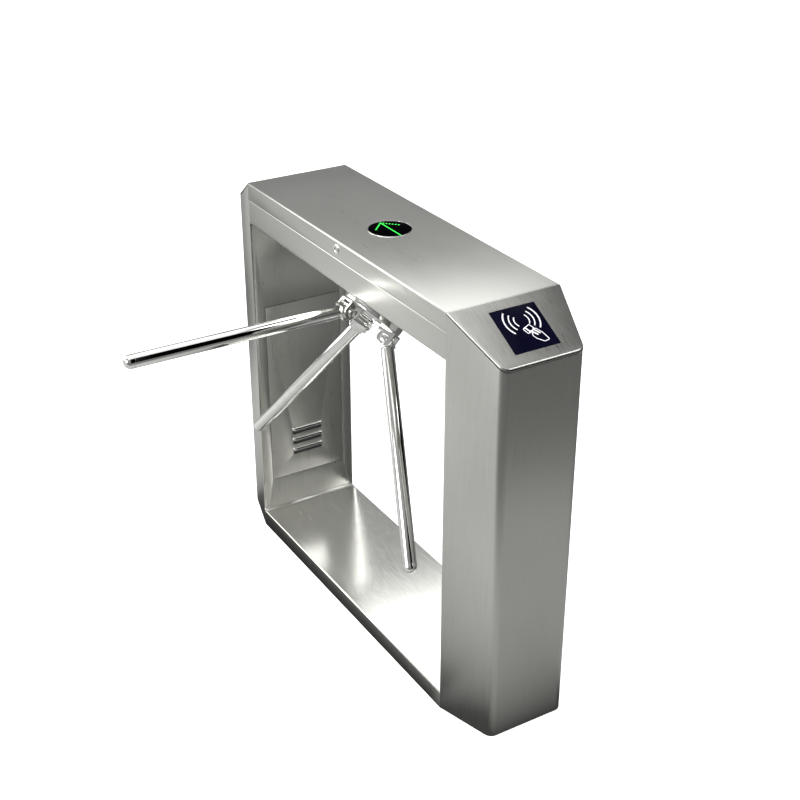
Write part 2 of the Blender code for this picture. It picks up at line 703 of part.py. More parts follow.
def tripod():
    """The rotating group: hub, shaft, index wheel, brackets, pins and the three arms."""
    frame = tripod_frame()
    flat = HUB_RADIUS - HUB_RIM
    hub = [
        (0, -HUB_OUTER), (flat, -HUB_OUTER), (HUB_RADIUS, HUB_RIM - HUB_OUTER),
        (HUB_RADIUS, -HUB_INNER - HUB_RIM), (flat, -HUB_INNER), (0, -HUB_INNER),
    ]
    add_object("hub_disc", turned(hub, 40), CHROME, frame)
    foot = GAP - HUB_INNER
    step = FLANGE_THICKNESS - HUB_INNER
    shaft = [
        (0, foot), (FLANGE_RADIUS, foot), (FLANGE_RADIUS, step),
        (SHAFT_RADIUS, step), (SHAFT_RADIUS, SHAFT_END), (0, SHAFT_END),
    ]
    add_object("main_shaft", turned(shaft), STEEL, frame)
    bore = circle((0, 0), SHAFT_RADIUS + GAP)
    wheel = plate([notched_wheel(), bore], WHEEL_START, WHEEL_START + WHEEL_WIDTH)
    add_object("index_wheel", wheel, ZINC, frame)
    for letter, turn in ARM_TURNS.items():
        spoke = empty(f"spoke_{letter}", (0, 0, 0), (0, 0, turn), frame)
        bracket(letter, spoke)
        arm(letter, spoke)


def notched_wheel():
    """Outline of the index wheel: lands on a circle with a square notch at every twelfth of a turn."""
    outline = []
    half = asin(NOTCH_HALF_WIDTH / WHEEL_RADIUS)
    floor = WHEEL_RADIUS - NOTCH_DEPTH
    floor_half = asin(NOTCH_HALF_WIDTH / floor)
    for notch in range(WHEEL_NOTCHES):
        turn = 2 * pi * notch / WHEEL_NOTCHES
        following = 2 * pi * (notch + 1) / WHEEL_NOTCHES
        outline += arc((0, 0), floor, turn - floor_half, turn + floor_half, 1)
        outline += arc((0, 0), WHEEL_RADIUS, turn + half, following - half, 2)
    return outline


def bracket(letter, spoke):
    """A clevis on the hub's face, with the pivot pin of its arm through its two ears."""
    offset = PIN_REACH * sin(ARM_ANGLE)
    face = HUB_OUTER + GAP
    side = [(BRACKET_INNER, face), (BRACKET_OUTER, face), (BRACKET_OUTER, face + BRACKET_BASE)]
    ear = arc((offset, offset), EAR_RADIUS, radians(-12), radians(205), 14)
    outline = side + ear + [(BRACKET_INNER, face + BRACKET_SHOULDER)]
    # Drawn as distance from the axis and depth out of the hub, which are local -Y and -Z.
    out = Matrix(((0, 0, 1, 0), (-1, 0, 0, 0), (0, -1, 0, 0), (0, 0, 0, 1)))
    body = swapped(plate([outline], -EAR_OUTER, EAR_OUTER), out)
    clevis = add_object(f"bracket_{letter}", body, CHROME, spoke)
    floor = face + BRACKET_BASE
    slot = box((-EAR_INNER, -PIN_REACH, -PIN_REACH), (EAR_INNER, 0.0, -floor))
    bore = rod(PIN_RADIUS + GAP, -2 * EAR_OUTER, 2 * EAR_OUTER, 16)
    bore = swapped(bore, Matrix.Translation((0, -offset, -offset)) @ ALONG_X)
    combine(clevis, add_object(f"bracket_{letter}_slot", slot, CHROME, spoke), "DIFFERENCE")
    combine(clevis, add_object(f"bracket_{letter}_bore", bore, CHROME, spoke), "DIFFERENCE")
    near, far = EAR_OUTER + GAP, EAR_OUTER + GAP + PIN_HEAD
    profile = [(0, -far), (PIN_HEAD_RADIUS, -far), (PIN_HEAD_RADIUS, -near), (PIN_RADIUS, -near),
               (PIN_RADIUS, near), (PIN_HEAD_RADIUS, near), (PIN_HEAD_RADIUS, far), (0, far)]
    pin = swapped(turned(profile, 16), ALONG_X)
    add_object(f"pin_{letter}", pin, CHROME, spoke, (0, -offset, -offset))


def arm(letter, spoke):
    """One arm on its pivot: the root block between the ears, the tube and its domed end cap."""
    offset = PIN_REACH * sin(ARM_ANGLE)
    frame = empty(f"arm_{letter}_axis", (0, -offset, -offset), (pi - ARM_ANGLE, 0, 0), spoke)
    round_end = arc((0, 0), ARM_RADIUS, pi, 2 * pi, 10)
    outline = round_end + [(ARM_RADIUS, ARM_ROOT_END), (-ARM_RADIUS, ARM_ROOT_END)]
    half = EAR_INNER - 2 * GAP
    block = swapped(plate([outline], -half, half), ALONG_X)
    root = add_object(f"arm_{letter}_root", block, CHROME, frame)
    inside = ARM_RADIUS - ARM_WALL - GAP
    spigot = rod(inside, ARM_ROOT_END - SHEET, ARM_ROOT_END + SPIGOT, 20)
    bore = swapped(rod(PIN_RADIUS + GAP, -2 * EAR_OUTER, 2 * EAR_OUTER, 16), ALONG_X)
    combine(root, add_object(f"arm_{letter}_spigot", spigot, CHROME, frame), "UNION")
    combine(root, add_object(f"arm_{letter}_bore", bore, CHROME, frame), "DIFFERENCE")
    start, end = ARM_ROOT_END + GAP, ARM_CAP_START - GAP
    tube = rectangle((ARM_RADIUS - ARM_WALL, start), (ARM_RADIUS, end))
    add_object(f"arm_{letter}_tube", turned(tube, 28), CHROME, frame)
    dome = arc((0, ARM_TIP), ARM_RADIUS, 0.0, pi / 2, 6)[:-1]
    cap = [(0, ARM_CAP_START - SPIGOT), (inside, ARM_CAP_START - SPIGOT), (inside, ARM_CAP_START),
           (ARM_RADIUS, ARM_CAP_START)] + dome + [(0, ARM_TIP + ARM_RADIUS)]
    add_object(f"arm_{letter}_cap", turned(cap, 28), CHROME, frame)


def mechanism():
    """The fixed head mechanism: bearing housing, bearings, plate, sensor, and the two locking sets."""
    frame = tripod_frame()
    bore = BEARING_RADIUS + GAP
    start = SHEET - HUB_INNER
    housing = rectangle((bore, start), (HOUSING_RADIUS, HOUSING_END))
    add_object("bearing_housing", turned(housing, 32), STEEL, frame)
    for name, low in BEARING_STARTS.items():
        ring = rectangle((SHAFT_RADIUS + GAP, low), (BEARING_RADIUS, low + BEARING_WIDTH))
        add_object(f"{name}_bearing", turned(ring), CHROME, frame)
    top = PLATE_START + PLATE_THICKNESS
    outline = rectangle(PLATE_CORNERS[0], PLATE_CORNERS[1])
    board = plate([outline, circle((0, 0), SHAFT_RADIUS + SHEET)], PLATE_START, top)
    board = add_object("mechanism_plate", board, ZINC, frame)
    posts = []
    for side in (-1, 1):
        shift = Matrix.Translation((side * PAWL_PIVOT[0], -PAWL_PIVOT[1], 0))
        post = rod(PAWL_PIVOT_RADIUS, top - SHEET, WHEEL_START + WHEEL_WIDTH, 16)
        posts.append(swapped(post, shift))
    combine(board, add_object("pawl_posts", merged(posts), ZINC, frame), "UNION")
    near, far = SENSOR_Y
    sensor = box((-SENSOR_HALF_WIDTH, near, top + GAP), (SENSOR_HALF_WIDTH, far, WHEEL_START + WHEEL_WIDTH))
    add_object("position_sensor", sensor, BLACK_PLASTIC, frame)
    for name, side in (("entry", 1), ("exit", -1)):
        locking_set(name, side, frame, top)


def locking_set(name, side, frame, top):
    """One direction's lock: a pawl beside the index wheel and the solenoid whose plunger swings it."""
    pivot = Vector((side * PAWL_PIVOT[0], -PAWL_PIVOT[1], 0))
    outline = [(side * x - pivot.x, -rise - pivot.y) for x, rise in PAWL_OUTLINE]
    bore = circle((0, 0), PAWL_PIVOT_RADIUS + GAP, 16)
    low, high = WHEEL_START + GAP, WHEEL_START + WHEEL_WIDTH - GAP
    turn = empty(f"{name}_pawl_axis", pivot, (0, 0, 0), frame)
    add_object(f"{name}_pawl", plate([outline, bore], low, high), ZINC, turn)
    centre = WHEEL_START + WHEEL_WIDTH / 2
    place = Matrix.Translation((0, -PLUNGER_RISE, centre)) @ ALONG_X
    ends = sorted((side * PLUNGER_TIP, side * PLUNGER_END))
    plunger = swapped(rod(PLUNGER_RADIUS, ends[0], ends[1], 16), place)
    add_object(f"{name}_plunger", plunger, CHROME, frame)
    deep = centre - top - GAP
    ends = sorted((side * SOLENOID_START, side * SOLENOID_END))
    outer = rectangle((-SOLENOID_HALF, -deep), (SOLENOID_HALF, deep))
    hole = circle((0, 0), PLUNGER_RADIUS + GAP, 16)
    body = swapped(plate([outer, hole], ends[0], ends[1]), place)
    add_object(f"{name}_solenoid", body, COPPER, frame)


def control_board():
    """Control board on spacers in the beam, with its relays, processor and terminals."""
    floor = BEAM_UNDERSIDE + SHEET + GAP
    level = floor + BOARD_RISE
    low, high = BOARD_X
    board = box((low, -BOARD_HALF_WIDTH, level), (high, BOARD_HALF_WIDTH, level + SHEET))
    board = add_object("control_board", board, BOARD_GREEN)
    seat = level + SHEET / 2
    fittings = []
    for near, far, rise in (TERMINAL_ROW, RELAY_ROW, PROCESSOR):
        fittings.append(box((near[0], near[1], seat), (far[0], far[1], level + rise)))
    reach = BOARD_HALF_WIDTH - SPACER_INSET
    for x in (low + SPACER_INSET, high - SPACER_INSET):
        for y in (-reach, reach):
            post = rod(SPACER_RADIUS, floor, seat, 10)
            fittings.append(swapped(post, Matrix.Translation((x, y, 0))))
    combine(board, add_object("board_fittings", merged(fittings), BOARD_GREEN), "UNION")


clear_scene()
legs()
beam()
lid()
mechanism()
tripod()
control_board()
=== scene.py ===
"""Looks of the visitor counter turnstile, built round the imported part. All sizes are metres."""
import json
from math import acos, atan, atan2, cos, hypot, pi, radians, sin, tan

import bmesh
import bpy
from mathutils import Matrix, Vector


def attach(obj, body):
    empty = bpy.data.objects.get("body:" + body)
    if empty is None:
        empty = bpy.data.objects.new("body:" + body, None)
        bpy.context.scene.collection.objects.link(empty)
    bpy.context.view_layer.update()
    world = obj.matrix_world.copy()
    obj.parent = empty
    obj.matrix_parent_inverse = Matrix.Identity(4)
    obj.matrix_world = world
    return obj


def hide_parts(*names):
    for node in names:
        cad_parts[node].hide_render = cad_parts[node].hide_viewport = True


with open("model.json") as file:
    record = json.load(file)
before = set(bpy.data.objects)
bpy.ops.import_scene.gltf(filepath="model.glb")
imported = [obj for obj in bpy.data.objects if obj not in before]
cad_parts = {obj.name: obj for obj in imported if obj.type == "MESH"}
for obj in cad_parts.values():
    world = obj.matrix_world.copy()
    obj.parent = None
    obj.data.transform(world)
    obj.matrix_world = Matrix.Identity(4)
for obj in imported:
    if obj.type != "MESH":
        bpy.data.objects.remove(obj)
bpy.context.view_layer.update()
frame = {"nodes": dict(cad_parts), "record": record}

# Cabinet
LENGTH, WIDTH, HEIGHT = 1.200, 0.280, 1.000
LEG_LENGTH, LEG_END_WIDTH, LEG_CORNER = 0.146, 0.197, 0.022
SLOPE_DROP = 0.0785
SHEET, GAP = 0.002, 0.0003
INNER_X = LENGTH / 2 - LEG_LENGTH
TAPER = (WIDTH - LEG_END_WIDTH) / 2 / LEG_LENGTH
CAP_THICKNESS, CAP_OVERHANG, CAP_LIP_GAP = 0.005, 0.0015, 0.0025
CAP_ROUND, RIDGE_ROUND = 0.0040, 0.0080
WINDOW, WINDOW_THICKNESS, WINDOW_SEAT = 0.110, 0.0035, 0.0006

# Beam, lid and plinth
BEAM_UNDERSIDE, BEAM_BEND = 0.888, 0.012
BEAM_FRONT_TOP, BEAM_REAR_TOP = 0.956, 0.9525
BEAM_RETURN, RETURN_BEND = 0.0045, 0.003
LID_FRONT_BOTTOM, LID_REAR_BOTTOM = 0.957, 0.960
LID_SHEET, LID_BEND = 0.0015, 0.005
PLINTH_HEIGHT, PLINTH_BEND, TRIM = 0.045, 0.004, (0.0062, 0.0038)
HOUSING_RADIUS = 0.036
LOCK_Z, LOCK_DEPTH, LOCK_BORE, LOCK_BARREL, LOCK_FLANGE = 0.979, 0.022, 0.006, 0.009, 0.011

# Indicator in the lid; the arrow is a row of dots with a barb on each side of its tip
BEZEL_RADIUS, BEZEL_DEPTH, BEZEL_RISE = 0.052, 0.012, 0.0008
LENS_RADIUS, LENS_DEPTH, LENS_RISE = 0.0497, 0.0035, 0.0003
ARROW_TIP, SHAFT_DOTS, SHAFT_PITCH, BARB_DOTS, BARB_PITCH = -0.043, 17, 0.0055, 6, (0.0053, 0.0050)

# Doors
DOOR_HALF, DOOR_BOTTOM, DOOR_TOP, DOOR_SEAM = 0.110, 0.136, 0.656, 0.0005
DOOR_HINGE_X, DOOR_HINGE_Y = 0.0046, 0.104
BARREL_BORE, BARREL_RADIUS, BARREL_LENGTH = 0.0018, 0.003, 0.028
# Louvres: each hood ends at its lip, above the middle of its slot, and slopes in at its ends
LOUVRE_WIDTH, LOUVRE_HEIGHT, LOUVRE_DEPTH, LOUVRE_LIP, LOUVRE_END = 0.092, 0.023, 0.0078, 0.0036, 0.008
LOUVRE_LEVELS = (0.2695, 0.2385, 0.2075)

# Tripod
APEX = Vector((0.0, -0.021, 0.826))
ARM_TURNS = {"a": 0.0, "b": radians(-120), "c": radians(120)}
HUB_RADIUS, HUB_INNER, HUB_OUTER = 0.080, 0.018, 0.044
PIN_REACH = 0.094
ARM_RADIUS, ARM_WALL, ARM_ROOT_END = 0.016, 0.0015, 0.020
ARM_TIP, ARM_CAP_START = 0.525, 0.519

# Control board inside the beam; the heights of its parts are above its underside
BOARD_LEVEL, BOARD_THICKNESS, BEAM_FLOOR = 0.9003, 0.002, 0.8903
BOARD_LOW, BOARD_HIGH = (-0.330, -0.060), (-0.150, 0.060)
SPACER_INSET, SPACER_RADIUS, SCREW_RADIUS = 0.008, 0.004, 0.003
POLES, POLE_PITCH, TERMINAL_LOW, TERMINAL_DEPTH, TERMINAL_HEIGHT = 10, 0.017, (-0.325, 0.035), 0.020, 0.014
RELAY_LOW, RELAY_SIZE, RELAY_HEIGHT = (-0.320, -0.050), (0.0295, 0.030), 0.018
PROCESSOR_PLACE, PROCESSOR_HALF, LEADS = (-0.205, -0.010), 0.020, 14

# Camera
CAMERA_PLACE = (2.553, -1.510, 2.125)
CAMERA_AZIMUTH, CAMERA_ELEVATION = radians(58.957), radians(27.81)
CAMERA_LENS = 62.40

BODY_OF = {node: body for body, nodes in frame["record"]["behaviour"]["bodies"].items() for node in nodes}


# ---------------- materials

def fill(node, inputs):
    """Give each named socket of a node its value, or the socket that feeds it."""
    for socket, source in inputs.items():
        if isinstance(source, bpy.types.NodeSocket):
            node.id_data.links.new(source, node.inputs[socket])
        else:
            node.inputs[socket].default_value = source


def add(owner, kind, inputs=None, **settings):
    """Add a shader node to a tree, or to the tree that a socket is in."""
    made = owner.id_data.nodes.new(f"ShaderNode{kind}")
    for key, value in settings.items():
        setattr(made, key, value)
    fill(made, inputs or {})
    return made


def new_material(name, metallic=0.0):
    """A material with its Principled shader and its object coordinates."""
    material = bpy.data.materials.new(name)
    material.use_nodes = True
    tree = material.node_tree
    shader = tree.nodes["Principled BSDF"]
    shader.inputs["Metallic"].default_value = metallic
    place = add(tree, "TexCoord").outputs["Object"]
    return material, shader, place


def noise(place, scale, detail=4.0, roughness=0.6, distortion=0.0, offset=(0, 0, 0)):
    """Noise over object coordinates; the scale is one number, or one for each axis."""
    if not isinstance(scale, tuple):
        scale = (scale, scale, scale)
    mapped = add(place, "Mapping", {"Vector": place, "Scale": scale, "Location": offset})
    made = add(place, "TexNoise", {
        "Vector": mapped.outputs[0], "Scale": 1.0, "Detail": detail,
        "Roughness": roughness, "Distortion": distortion})
    return made.outputs["Fac"]


def remap(source, low, high, to_low, to_high, smooth=False):
    """Map a range onto another."""
    made = add(source, "MapRange", {
        "Value": source, "From Min": low, "From Max": high, "To Min": to_low, "To Max": to_high})
    if smooth:
        made.interpolation_type = "SMOOTHSTEP"
    return made.outputs["Result"]


def maths(operation, *values):
    """A sum, product or the like, taken from left to right; one value alone is an absolute or a root."""
    owner = next(value for value in values if isinstance(value, bpy.types.NodeSocket))
    result = values[0]
    if len(values) == 1:
        return add(owner, "Math", {0: result}, operation=operation).outputs[0]
    for value in values[1:]:
        result = add(owner, "Math", {0: result, 1: value}, operation=operation).outputs[0]
    return result


def product(*values):
    """Product of several values."""
    return maths("MULTIPLY", *values)


def total(*values):
    """Sum of several values."""
    return maths("ADD", *values)


def weighted(first, share, second):
    """A mean of two values, in which the first has a share of the weight."""
    return total(product(first, share), product(second, 1 - share))


def edge_mask(place, radius):
    """1 along outer edges and 0 on flats."""
    soft = add(place, "Bevel", {"Radius": radius}, samples=4)
    flat = add(place, "NewGeometry").outputs["Normal"]
    facing = add(place, "VectorMath", {0: soft.outputs[0], 1: flat}, operation="DOT_PRODUCT")
    return remap(facing.outputs["Value"], 0.998, 0.90, 0.0, 1.0)


def tinted(fac, dark, light):
    """Mix of two colours by a factor."""
    made = add(fac, "Mix", {0: fac, 6: (*dark, 1.0), 7: (*light, 1.0)}, data_type="RGBA")
    return made.outputs[2]


def shade(colour, amount):
    """A colour made darker or lighter."""
    return tuple(min(1.0, channel * amount) for channel in colour)


def toned(value, low, high, colour, dark, light):
    """A colour that runs from darker to lighter as a value runs from low to high."""
    return tinted(remap(value, low, high, 0.0, 1.0), shade(colour, dark), shade(colour, light))


def surface(shader, base, rough, height, depth):
    """Feed a shader's colour, roughness and bump; the depth of the bump is in metres."""
    bump = add(shader, "Bump", {"Height": height, "Distance": depth, "Strength": 1.0})
    fill(shader, {"Base Color": base, "Roughness": rough, "Normal": bump.outputs[0]})


def brushed(name, colour, roughness, grain, streak=0.06, depth=0.00002):
    """Brushed sheet steel: streaks along the grain, faint clouding, and edges rubbed brighter."""
    material, shader, place = new_material(name, 1.0)
    coarse = noise(place, grain, 3.0)
    fine = noise(place, tuple(6 * side for side in grain), 5.0, 0.75, offset=(3.1, 1.7, 0.4))
    cloud = noise(place, 7, 3.0, 0.5, 0.4)
    streaks = weighted(coarse, 0.55, fine)
    mixed = weighted(streaks, 0.8, cloud)
    base = toned(mixed, 0.34, 0.66, colour, 1 - streak, 1 + streak)
    edge = product(edge_mask(place, 0.0012), remap(fine, 0.3, 0.6, 0.3, 1.0))
    rubbed = (*shade(colour, 1.35), 1.0)
    worn = add(place, "Mix", {0: product(edge, 0.2), 6: base, 7: rubbed}, data_type="RGBA")
    rough = remap(mixed, 0.3, 0.7, roughness - 0.05, roughness + 0.05)
    rough = maths("SUBTRACT", rough, product(edge, 0.05))
    surface(shader, worn.outputs[2], rough, streaks, depth)
    return material


def polished(name, colour, roughness):
    """Polished steel: near-mirror, with faint polishing marks, smudges and dulled edges."""
    material, shader, place = new_material(name, 1.0)
    marks = noise(place, 900, 4.0, 0.7, 0.6)
    smudge = noise(place, 26, 4.0, 0.6, 0.8, (5, 2, 1))
    tone = weighted(smudge, 0.7, marks)
    base = toned(tone, 0.35, 0.65, colour, 0.95, 1.04)
    rough = remap(tone, 0.3, 0.7, roughness * 0.7, roughness * 1.5)
    rough = total(rough, product(edge_mask(place, 0.0008), 0.05))
    surface(shader, base, rough, marks, 0.000002)
    return material


def zinc(name, colour, roughness=0.42):
    """Zinc-plated steel: pale spangled patches and a fine rough skin."""
    material, shader, place = new_material(name, 0.9)
    cells = add(place, "TexVoronoi", {"Vector": place, "Scale": 160.0}).outputs["Distance"]
    skin = noise(place, 500)
    patch = weighted(cells, 0.4, skin)
    base = toned(patch, 0.2, 0.7, colour, 0.86, 1.08)
    rough = remap(patch, 0.2, 0.7, roughness - 0.08, roughness + 0.10)
    surface(shader, base, rough, skin, 0.00003)
    return material


def moulded(name, colour, roughness):
    """Moulded plastic: fine grain, faint dust and slightly paler edges."""
    material, shader, place = new_material(name)
    fine = noise(place, 900, 3.0)
    dust = noise(place, 40, 5.0, 0.65)
    tone = weighted(dust, 0.6, edge_mask(place, 0.0006))
    base = toned(tone, 0.2, 0.8, colour, 0.8, 1.35)
    rough = remap(dust, 0.3, 0.7, roughness - 0.05, roughness + 0.08)
    surface(shader, base, rough, fine, 0.00003)
    return material


def dark_glass(name, colour, index):
    """Black glass with faint smears; a lower refractive index mirrors less."""
    material, shader, place = new_material(name)
    smear = noise(place, (30, 60, 30), 5.0, 0.6, 1.2)
    fine = noise(place, 1500, 3.0)
    fill(shader, {"Specular IOR Level": 0.02, "IOR": index})
    base = toned(smear, 0.3, 0.7, colour, 0.75, 1.3)
    surface(shader, base, remap(smear, 0.3, 0.75, 0.04, 0.16), fine, 0.0000008)
    return material


def lit(name, colour, glow, strength):
    """A glowing mark with a pale body and a grainy glow: the lamps of the green arrow, and the white print,
    whose glow is painted light.
    """
    material, shader, place = new_material(name)
    grain = noise(place, 1200, 3.0)
    power = remap(grain, 0.3, 0.7, strength * 0.9, strength * 1.1)
    fill(shader, {
        "Base Color": toned(grain, 0.3, 0.7, colour, 0.92, 1.05),
        "Emission Color": (*glow, 1.0), "Emission Strength": power,
        "Roughness": remap(grain, 0.3, 0.7, 0.35, 0.5)})
    return material


def circuit(name, mask, copper):
    """Solder mask over copper traces on a fine grid."""
    material, shader, place = new_material(name)
    traces = add(place, "TexBrick", {
        "Vector": place, "Scale": 90.0, "Color1": (0, 0, 0, 1), "Color2": (0.25, 0.25, 0.25, 1),
        "Mortar": (1, 1, 1, 1), "Mortar Size": 0.05, "Brick Width": 0.9, "Row Height": 0.22}).outputs["Color"]
    fine = noise(place, 600, 3.0)
    base = tinted(product(traces, 0.5), mask, copper)
    surface(shader, base, remap(fine, 0.3, 0.7, 0.30, 0.42), traces, 0.00004)
    return material


def wound(name, colour):
    """Enamelled wire wound round a coil whose axis runs along X."""
    material, shader, place = new_material(name, 0.7)
    turns = add(place, "TexWave", {"Vector": place, "Scale": 420.0, "Distortion": 0.3, "Detail": 1.0},
                bands_direction="X").outputs["Fac"]
    fine = noise(place, 300, 3.0)
    base = tinted(turns, shade(colour, 0.5), shade(colour, 1.25))
    surface(shader, base, remap(fine, 0.3, 0.7, 0.25, 0.4), turns, 0.0002)
    return material


# Colour of the satin steel, and how finely its grain varies across and along the brushing
SATIN = (0.60, 0.60, 0.57)
ACROSS, ALONG = 340.0, 9.0
UPRIGHT = (ACROSS, ACROSS, ALONG)
LENGTHWISE = (ALONG, ACROSS, ACROSS)
CROSSWISE = (ACROSS, ALONG, ACROSS)
SHORT_GRAIN = (3 * ALONG, ACROSS, ACROSS)
DOWNHILL = (3 * ALONG, ACROSS, 3 * ALONG)
STEEL_X = brushed("satin_steel_lengthwise", SATIN, 0.30, LENGTHWISE, 0.03, 0.000008)
STEEL_Z = brushed("satin_steel_upright", SATIN, 0.30, UPRIGHT)
# A darker copy of the satin steel: painted shade on the walls and doors inside the passage, and also used on
# the lock plug
STEEL_INNER_SHADED = brushed("satin_steel_inner_shaded", shade(SATIN, 0.76), 0.30, UPRIGHT, 0.05)
STEEL_BRIGHT = brushed("bright_steel", shade(SATIN, 1.15), 0.12, CROSSWISE, 0.04, 0.00001)
# A lighter copy of the satin steel: painted light on the louvre hoods, which brightens their crests
STEEL_LOUVRE_LIT = brushed("satin_steel_louvre_lit", shade(SATIN, 1.30), 0.22, CROSSWISE, 0.04, 0.00001)
# A darker copy of the satin steel: painted shade on the sloping caps
STEEL_SLOPE_SHADED = brushed("satin_steel_slope_shaded", shade(SATIN, 0.88), 0.30, DOWNHILL, 0.16, 0.00003)
# A lighter copy of the satin steel: painted light on the plinth cover
STEEL_PLINTH_LIT = brushed("satin_steel_plinth_lit", shade(SATIN, 1.40), 0.24, SHORT_GRAIN, 0.10, 0.00004)
MACHINED = brushed("machined_steel", (0.66, 0.66, 0.65), 0.22, (900, 900, 900), 0.05)
CHROME = polished("polished_steel", (0.80, 0.80, 0.78), 0.07)
ZINC = zinc("zinc_steel", (0.62, 0.62, 0.60))
GLASS = dark_glass("dark_window", (0.004, 0.004, 0.016), 1.5)
LENS = dark_glass("dark_lens", (0.0012, 0.0012, 0.002), 1.1)
BLACK = moulded("black_plastic", (0.018, 0.018, 0.019), 0.45)
TERMINAL = moulded("terminal_plastic", (0.03, 0.20, 0.07), 0.40)
BOARD = circuit("circuit_board", (0.012, 0.11, 0.045), (0.10, 0.36, 0.12))
COIL = wound("painted_coil", (0.50, 0.20, 0.08))
# The white print glows though it is no lamp: painted light
PRINT_GLOWING = lit("white_print_glowing", (0.85, 0.85, 0.88), (0.95, 0.95, 1.0), 0.45)
GREEN_LIGHT = lit("green_light", (0.02, 0.35, 0.05), (0.03, 1.0, 0.08), 1.6)


# ---------------- mesh helpers

# Turns an extrusion along Z into one along X: its X goes to Y, and its Y to Z
ALONG_X = Matrix(((0, 0, 1, 0), (1, 0, 0, 0), (0, 1, 0, 0), (0, 0, 0, 1)))


def shift(x, y, z):
    """A move along the three axes."""
    return Matrix.Translation((x, y, z))


def arc(centre, radius, start, end, steps):
    """Points on an arc."""
    turns = [start + (end - start) * step / steps for step in range(steps + 1)]
    return [(centre[0] + radius * cos(turn), centre[1] + radius * sin(turn)) for turn in turns]


def circle(centre, radius, steps=48):
    """Points on a full circle."""
    return arc(centre, radius, 0.0, 2 * pi, steps)[:-1]


def rectangle(low, high):
    """Corner points of an upright rectangle."""
    return [(low[0], low[1]), (high[0], low[1]), (high[0], high[1]), (low[0], high[1])]


def round_corner(before, corner, after, radius, steps):
    """Points of the arc that rounds one corner of a path."""
    here = Vector(corner)
    back = (Vector(before) - here).normalized()
    ahead = (Vector(after) - here).normalized()
    half = acos(max(-1.0, min(1.0, back.dot(ahead)))) / 2
    centre = here + (back + ahead).normalized() * radius / sin(half)
    first = here + back * radius / tan(half) - centre
    last = here + ahead * radius / tan(half) - centre
    turn = first.angle_signed(last)
    return [tuple(centre + Matrix.Rotation(-turn * step / steps, 2) @ first) for step in range(steps + 1)]


def offset_path(path, distance):
    """Shift an open path to its left, keeping its corners sharp."""
    shifted = []
    for index, point in enumerate(path):
        here = Vector(point)
        sides = []
        if index > 0:
            sides.append((here - Vector(path[index - 1])).normalized())
        if index < len(path) - 1:
            sides.append((Vector(path[index + 1]) - here).normalized())
        normals = [Vector((-side.y, side.x)) for side in sides]
        middle = sum(normals, Vector((0, 0))).normalized()
        shifted.append(tuple(here + middle * distance / middle.dot(normals[0])))
    return shifted


def rounded_path(path, radii, steps=12):
    """Round every inner corner of an open path, each by its own radius."""
    points = [tuple(path[0])]
    for before, corner, after, radius in zip(path, path[1:], path[2:], radii):
        points += round_corner(before, corner, after, radius, steps)
    points.append(tuple(path[-1]))
    return points


def rounded_loop(path, radius, steps=6, turning=False):
    """Round every corner of a closed outline; a turning profile keeps its points on the axis."""
    points = []
    for index, corner in enumerate(path):
        if turning and corner[0] == 0:
            points.append(corner)
        else:
            after = path[(index + 1) % len(path)]
            points += round_corner(path[index - 1], corner, after, radius, steps)
    return points


def bent_sheet(path, thickness, radii, steps=12):
    """Closed outline of a folded sheet whose outer side follows a path; the sheet lies on its left."""
    outer = rounded_path(path, radii, steps)
    inner = rounded_path(offset_path(path, thickness), [radius - thickness for radius in radii], steps)
    return outer + inner[::-1]


def plate(outlines, bottom, top):
    """Extrude an outline, with any further outlines as holes, from bottom to top along Z."""
    bm = bmesh.new()
    edges = []
    for outline in outlines:
        corners = [bm.verts.new((x, y, bottom)) for x, y in outline]
        edges += [bm.edges.new((corners[i - 1], corners[i])) for i in range(len(corners))]
    if len(outlines) == 1:
        bm.faces.new(corners)
    else:
        bmesh.ops.triangle_fill(bm, edges=edges, use_beauty=True)
    raised = bmesh.ops.extrude_face_region(bm, geom=bm.faces[:])
    lifted = [item for item in raised["geom"] if isinstance(item, bmesh.types.BMVert)]
    bmesh.ops.translate(bm, verts=lifted, vec=(0, 0, top - bottom))
    return bm


def new_object(name, data):
    """An object in the scene."""
    thing = bpy.data.objects.new(name, data)
    bpy.context.scene.collection.objects.link(thing)
    return thing


def box(low, high):
    """A block between two corners."""
    return plate([rectangle(low[:2], high[:2])], low[2], high[2])


def turned(profile, steps=48):
    """Turn a closed (radius, height) profile round Z; points with radius 0 lie on the axis."""
    bm = bmesh.new()
    rings = []
    for radius, height in profile:
        if radius == 0:
            rings.append([bm.verts.new((0, 0, height))] * steps)
        else:
            rings.append([bm.verts.new((x, y, height)) for x, y in circle((0, 0), radius, steps)])
    for lower, upper in zip(rings, rings[1:] + rings[:1]):
        for step in range(steps):
            corners = dict.fromkeys((lower[step - 1], lower[step], upper[step], upper[step - 1]))
            if len(corners) > 2:
                bm.faces.new(list(corners))
    return bm


def rod(radius, bottom, top, steps=48):
    """A solid cylinder along Z."""
    return plate([circle((0, 0), radius, steps)], bottom, top)


def ring(inner, outer, bottom, top, rounding, segments, steps):
    """A turned ring with rounded edges, or a disc where inner is 0."""
    section = rectangle((inner, bottom), (outer, top))
    return turned(rounded_loop(section, rounding, segments, True), steps)


def as_mesh(name, bm):
    """Turn a bmesh into a mesh, and free it."""
    mesh = bpy.data.meshes.new(name)
    bm.to_mesh(mesh)
    bm.free()
    return mesh


def moved(bm, matrix):
    """Move a bmesh by a matrix."""
    bmesh.ops.transform(bm, matrix=matrix, verts=bm.verts)
    return bm


def merged(parts):
    """Gather several bmeshes into one."""
    bm = bmesh.new()
    for part in parts:
        mesh = as_mesh("part", part)
        bm.from_mesh(mesh)
        bpy.data.meshes.remove(mesh)
    return bm


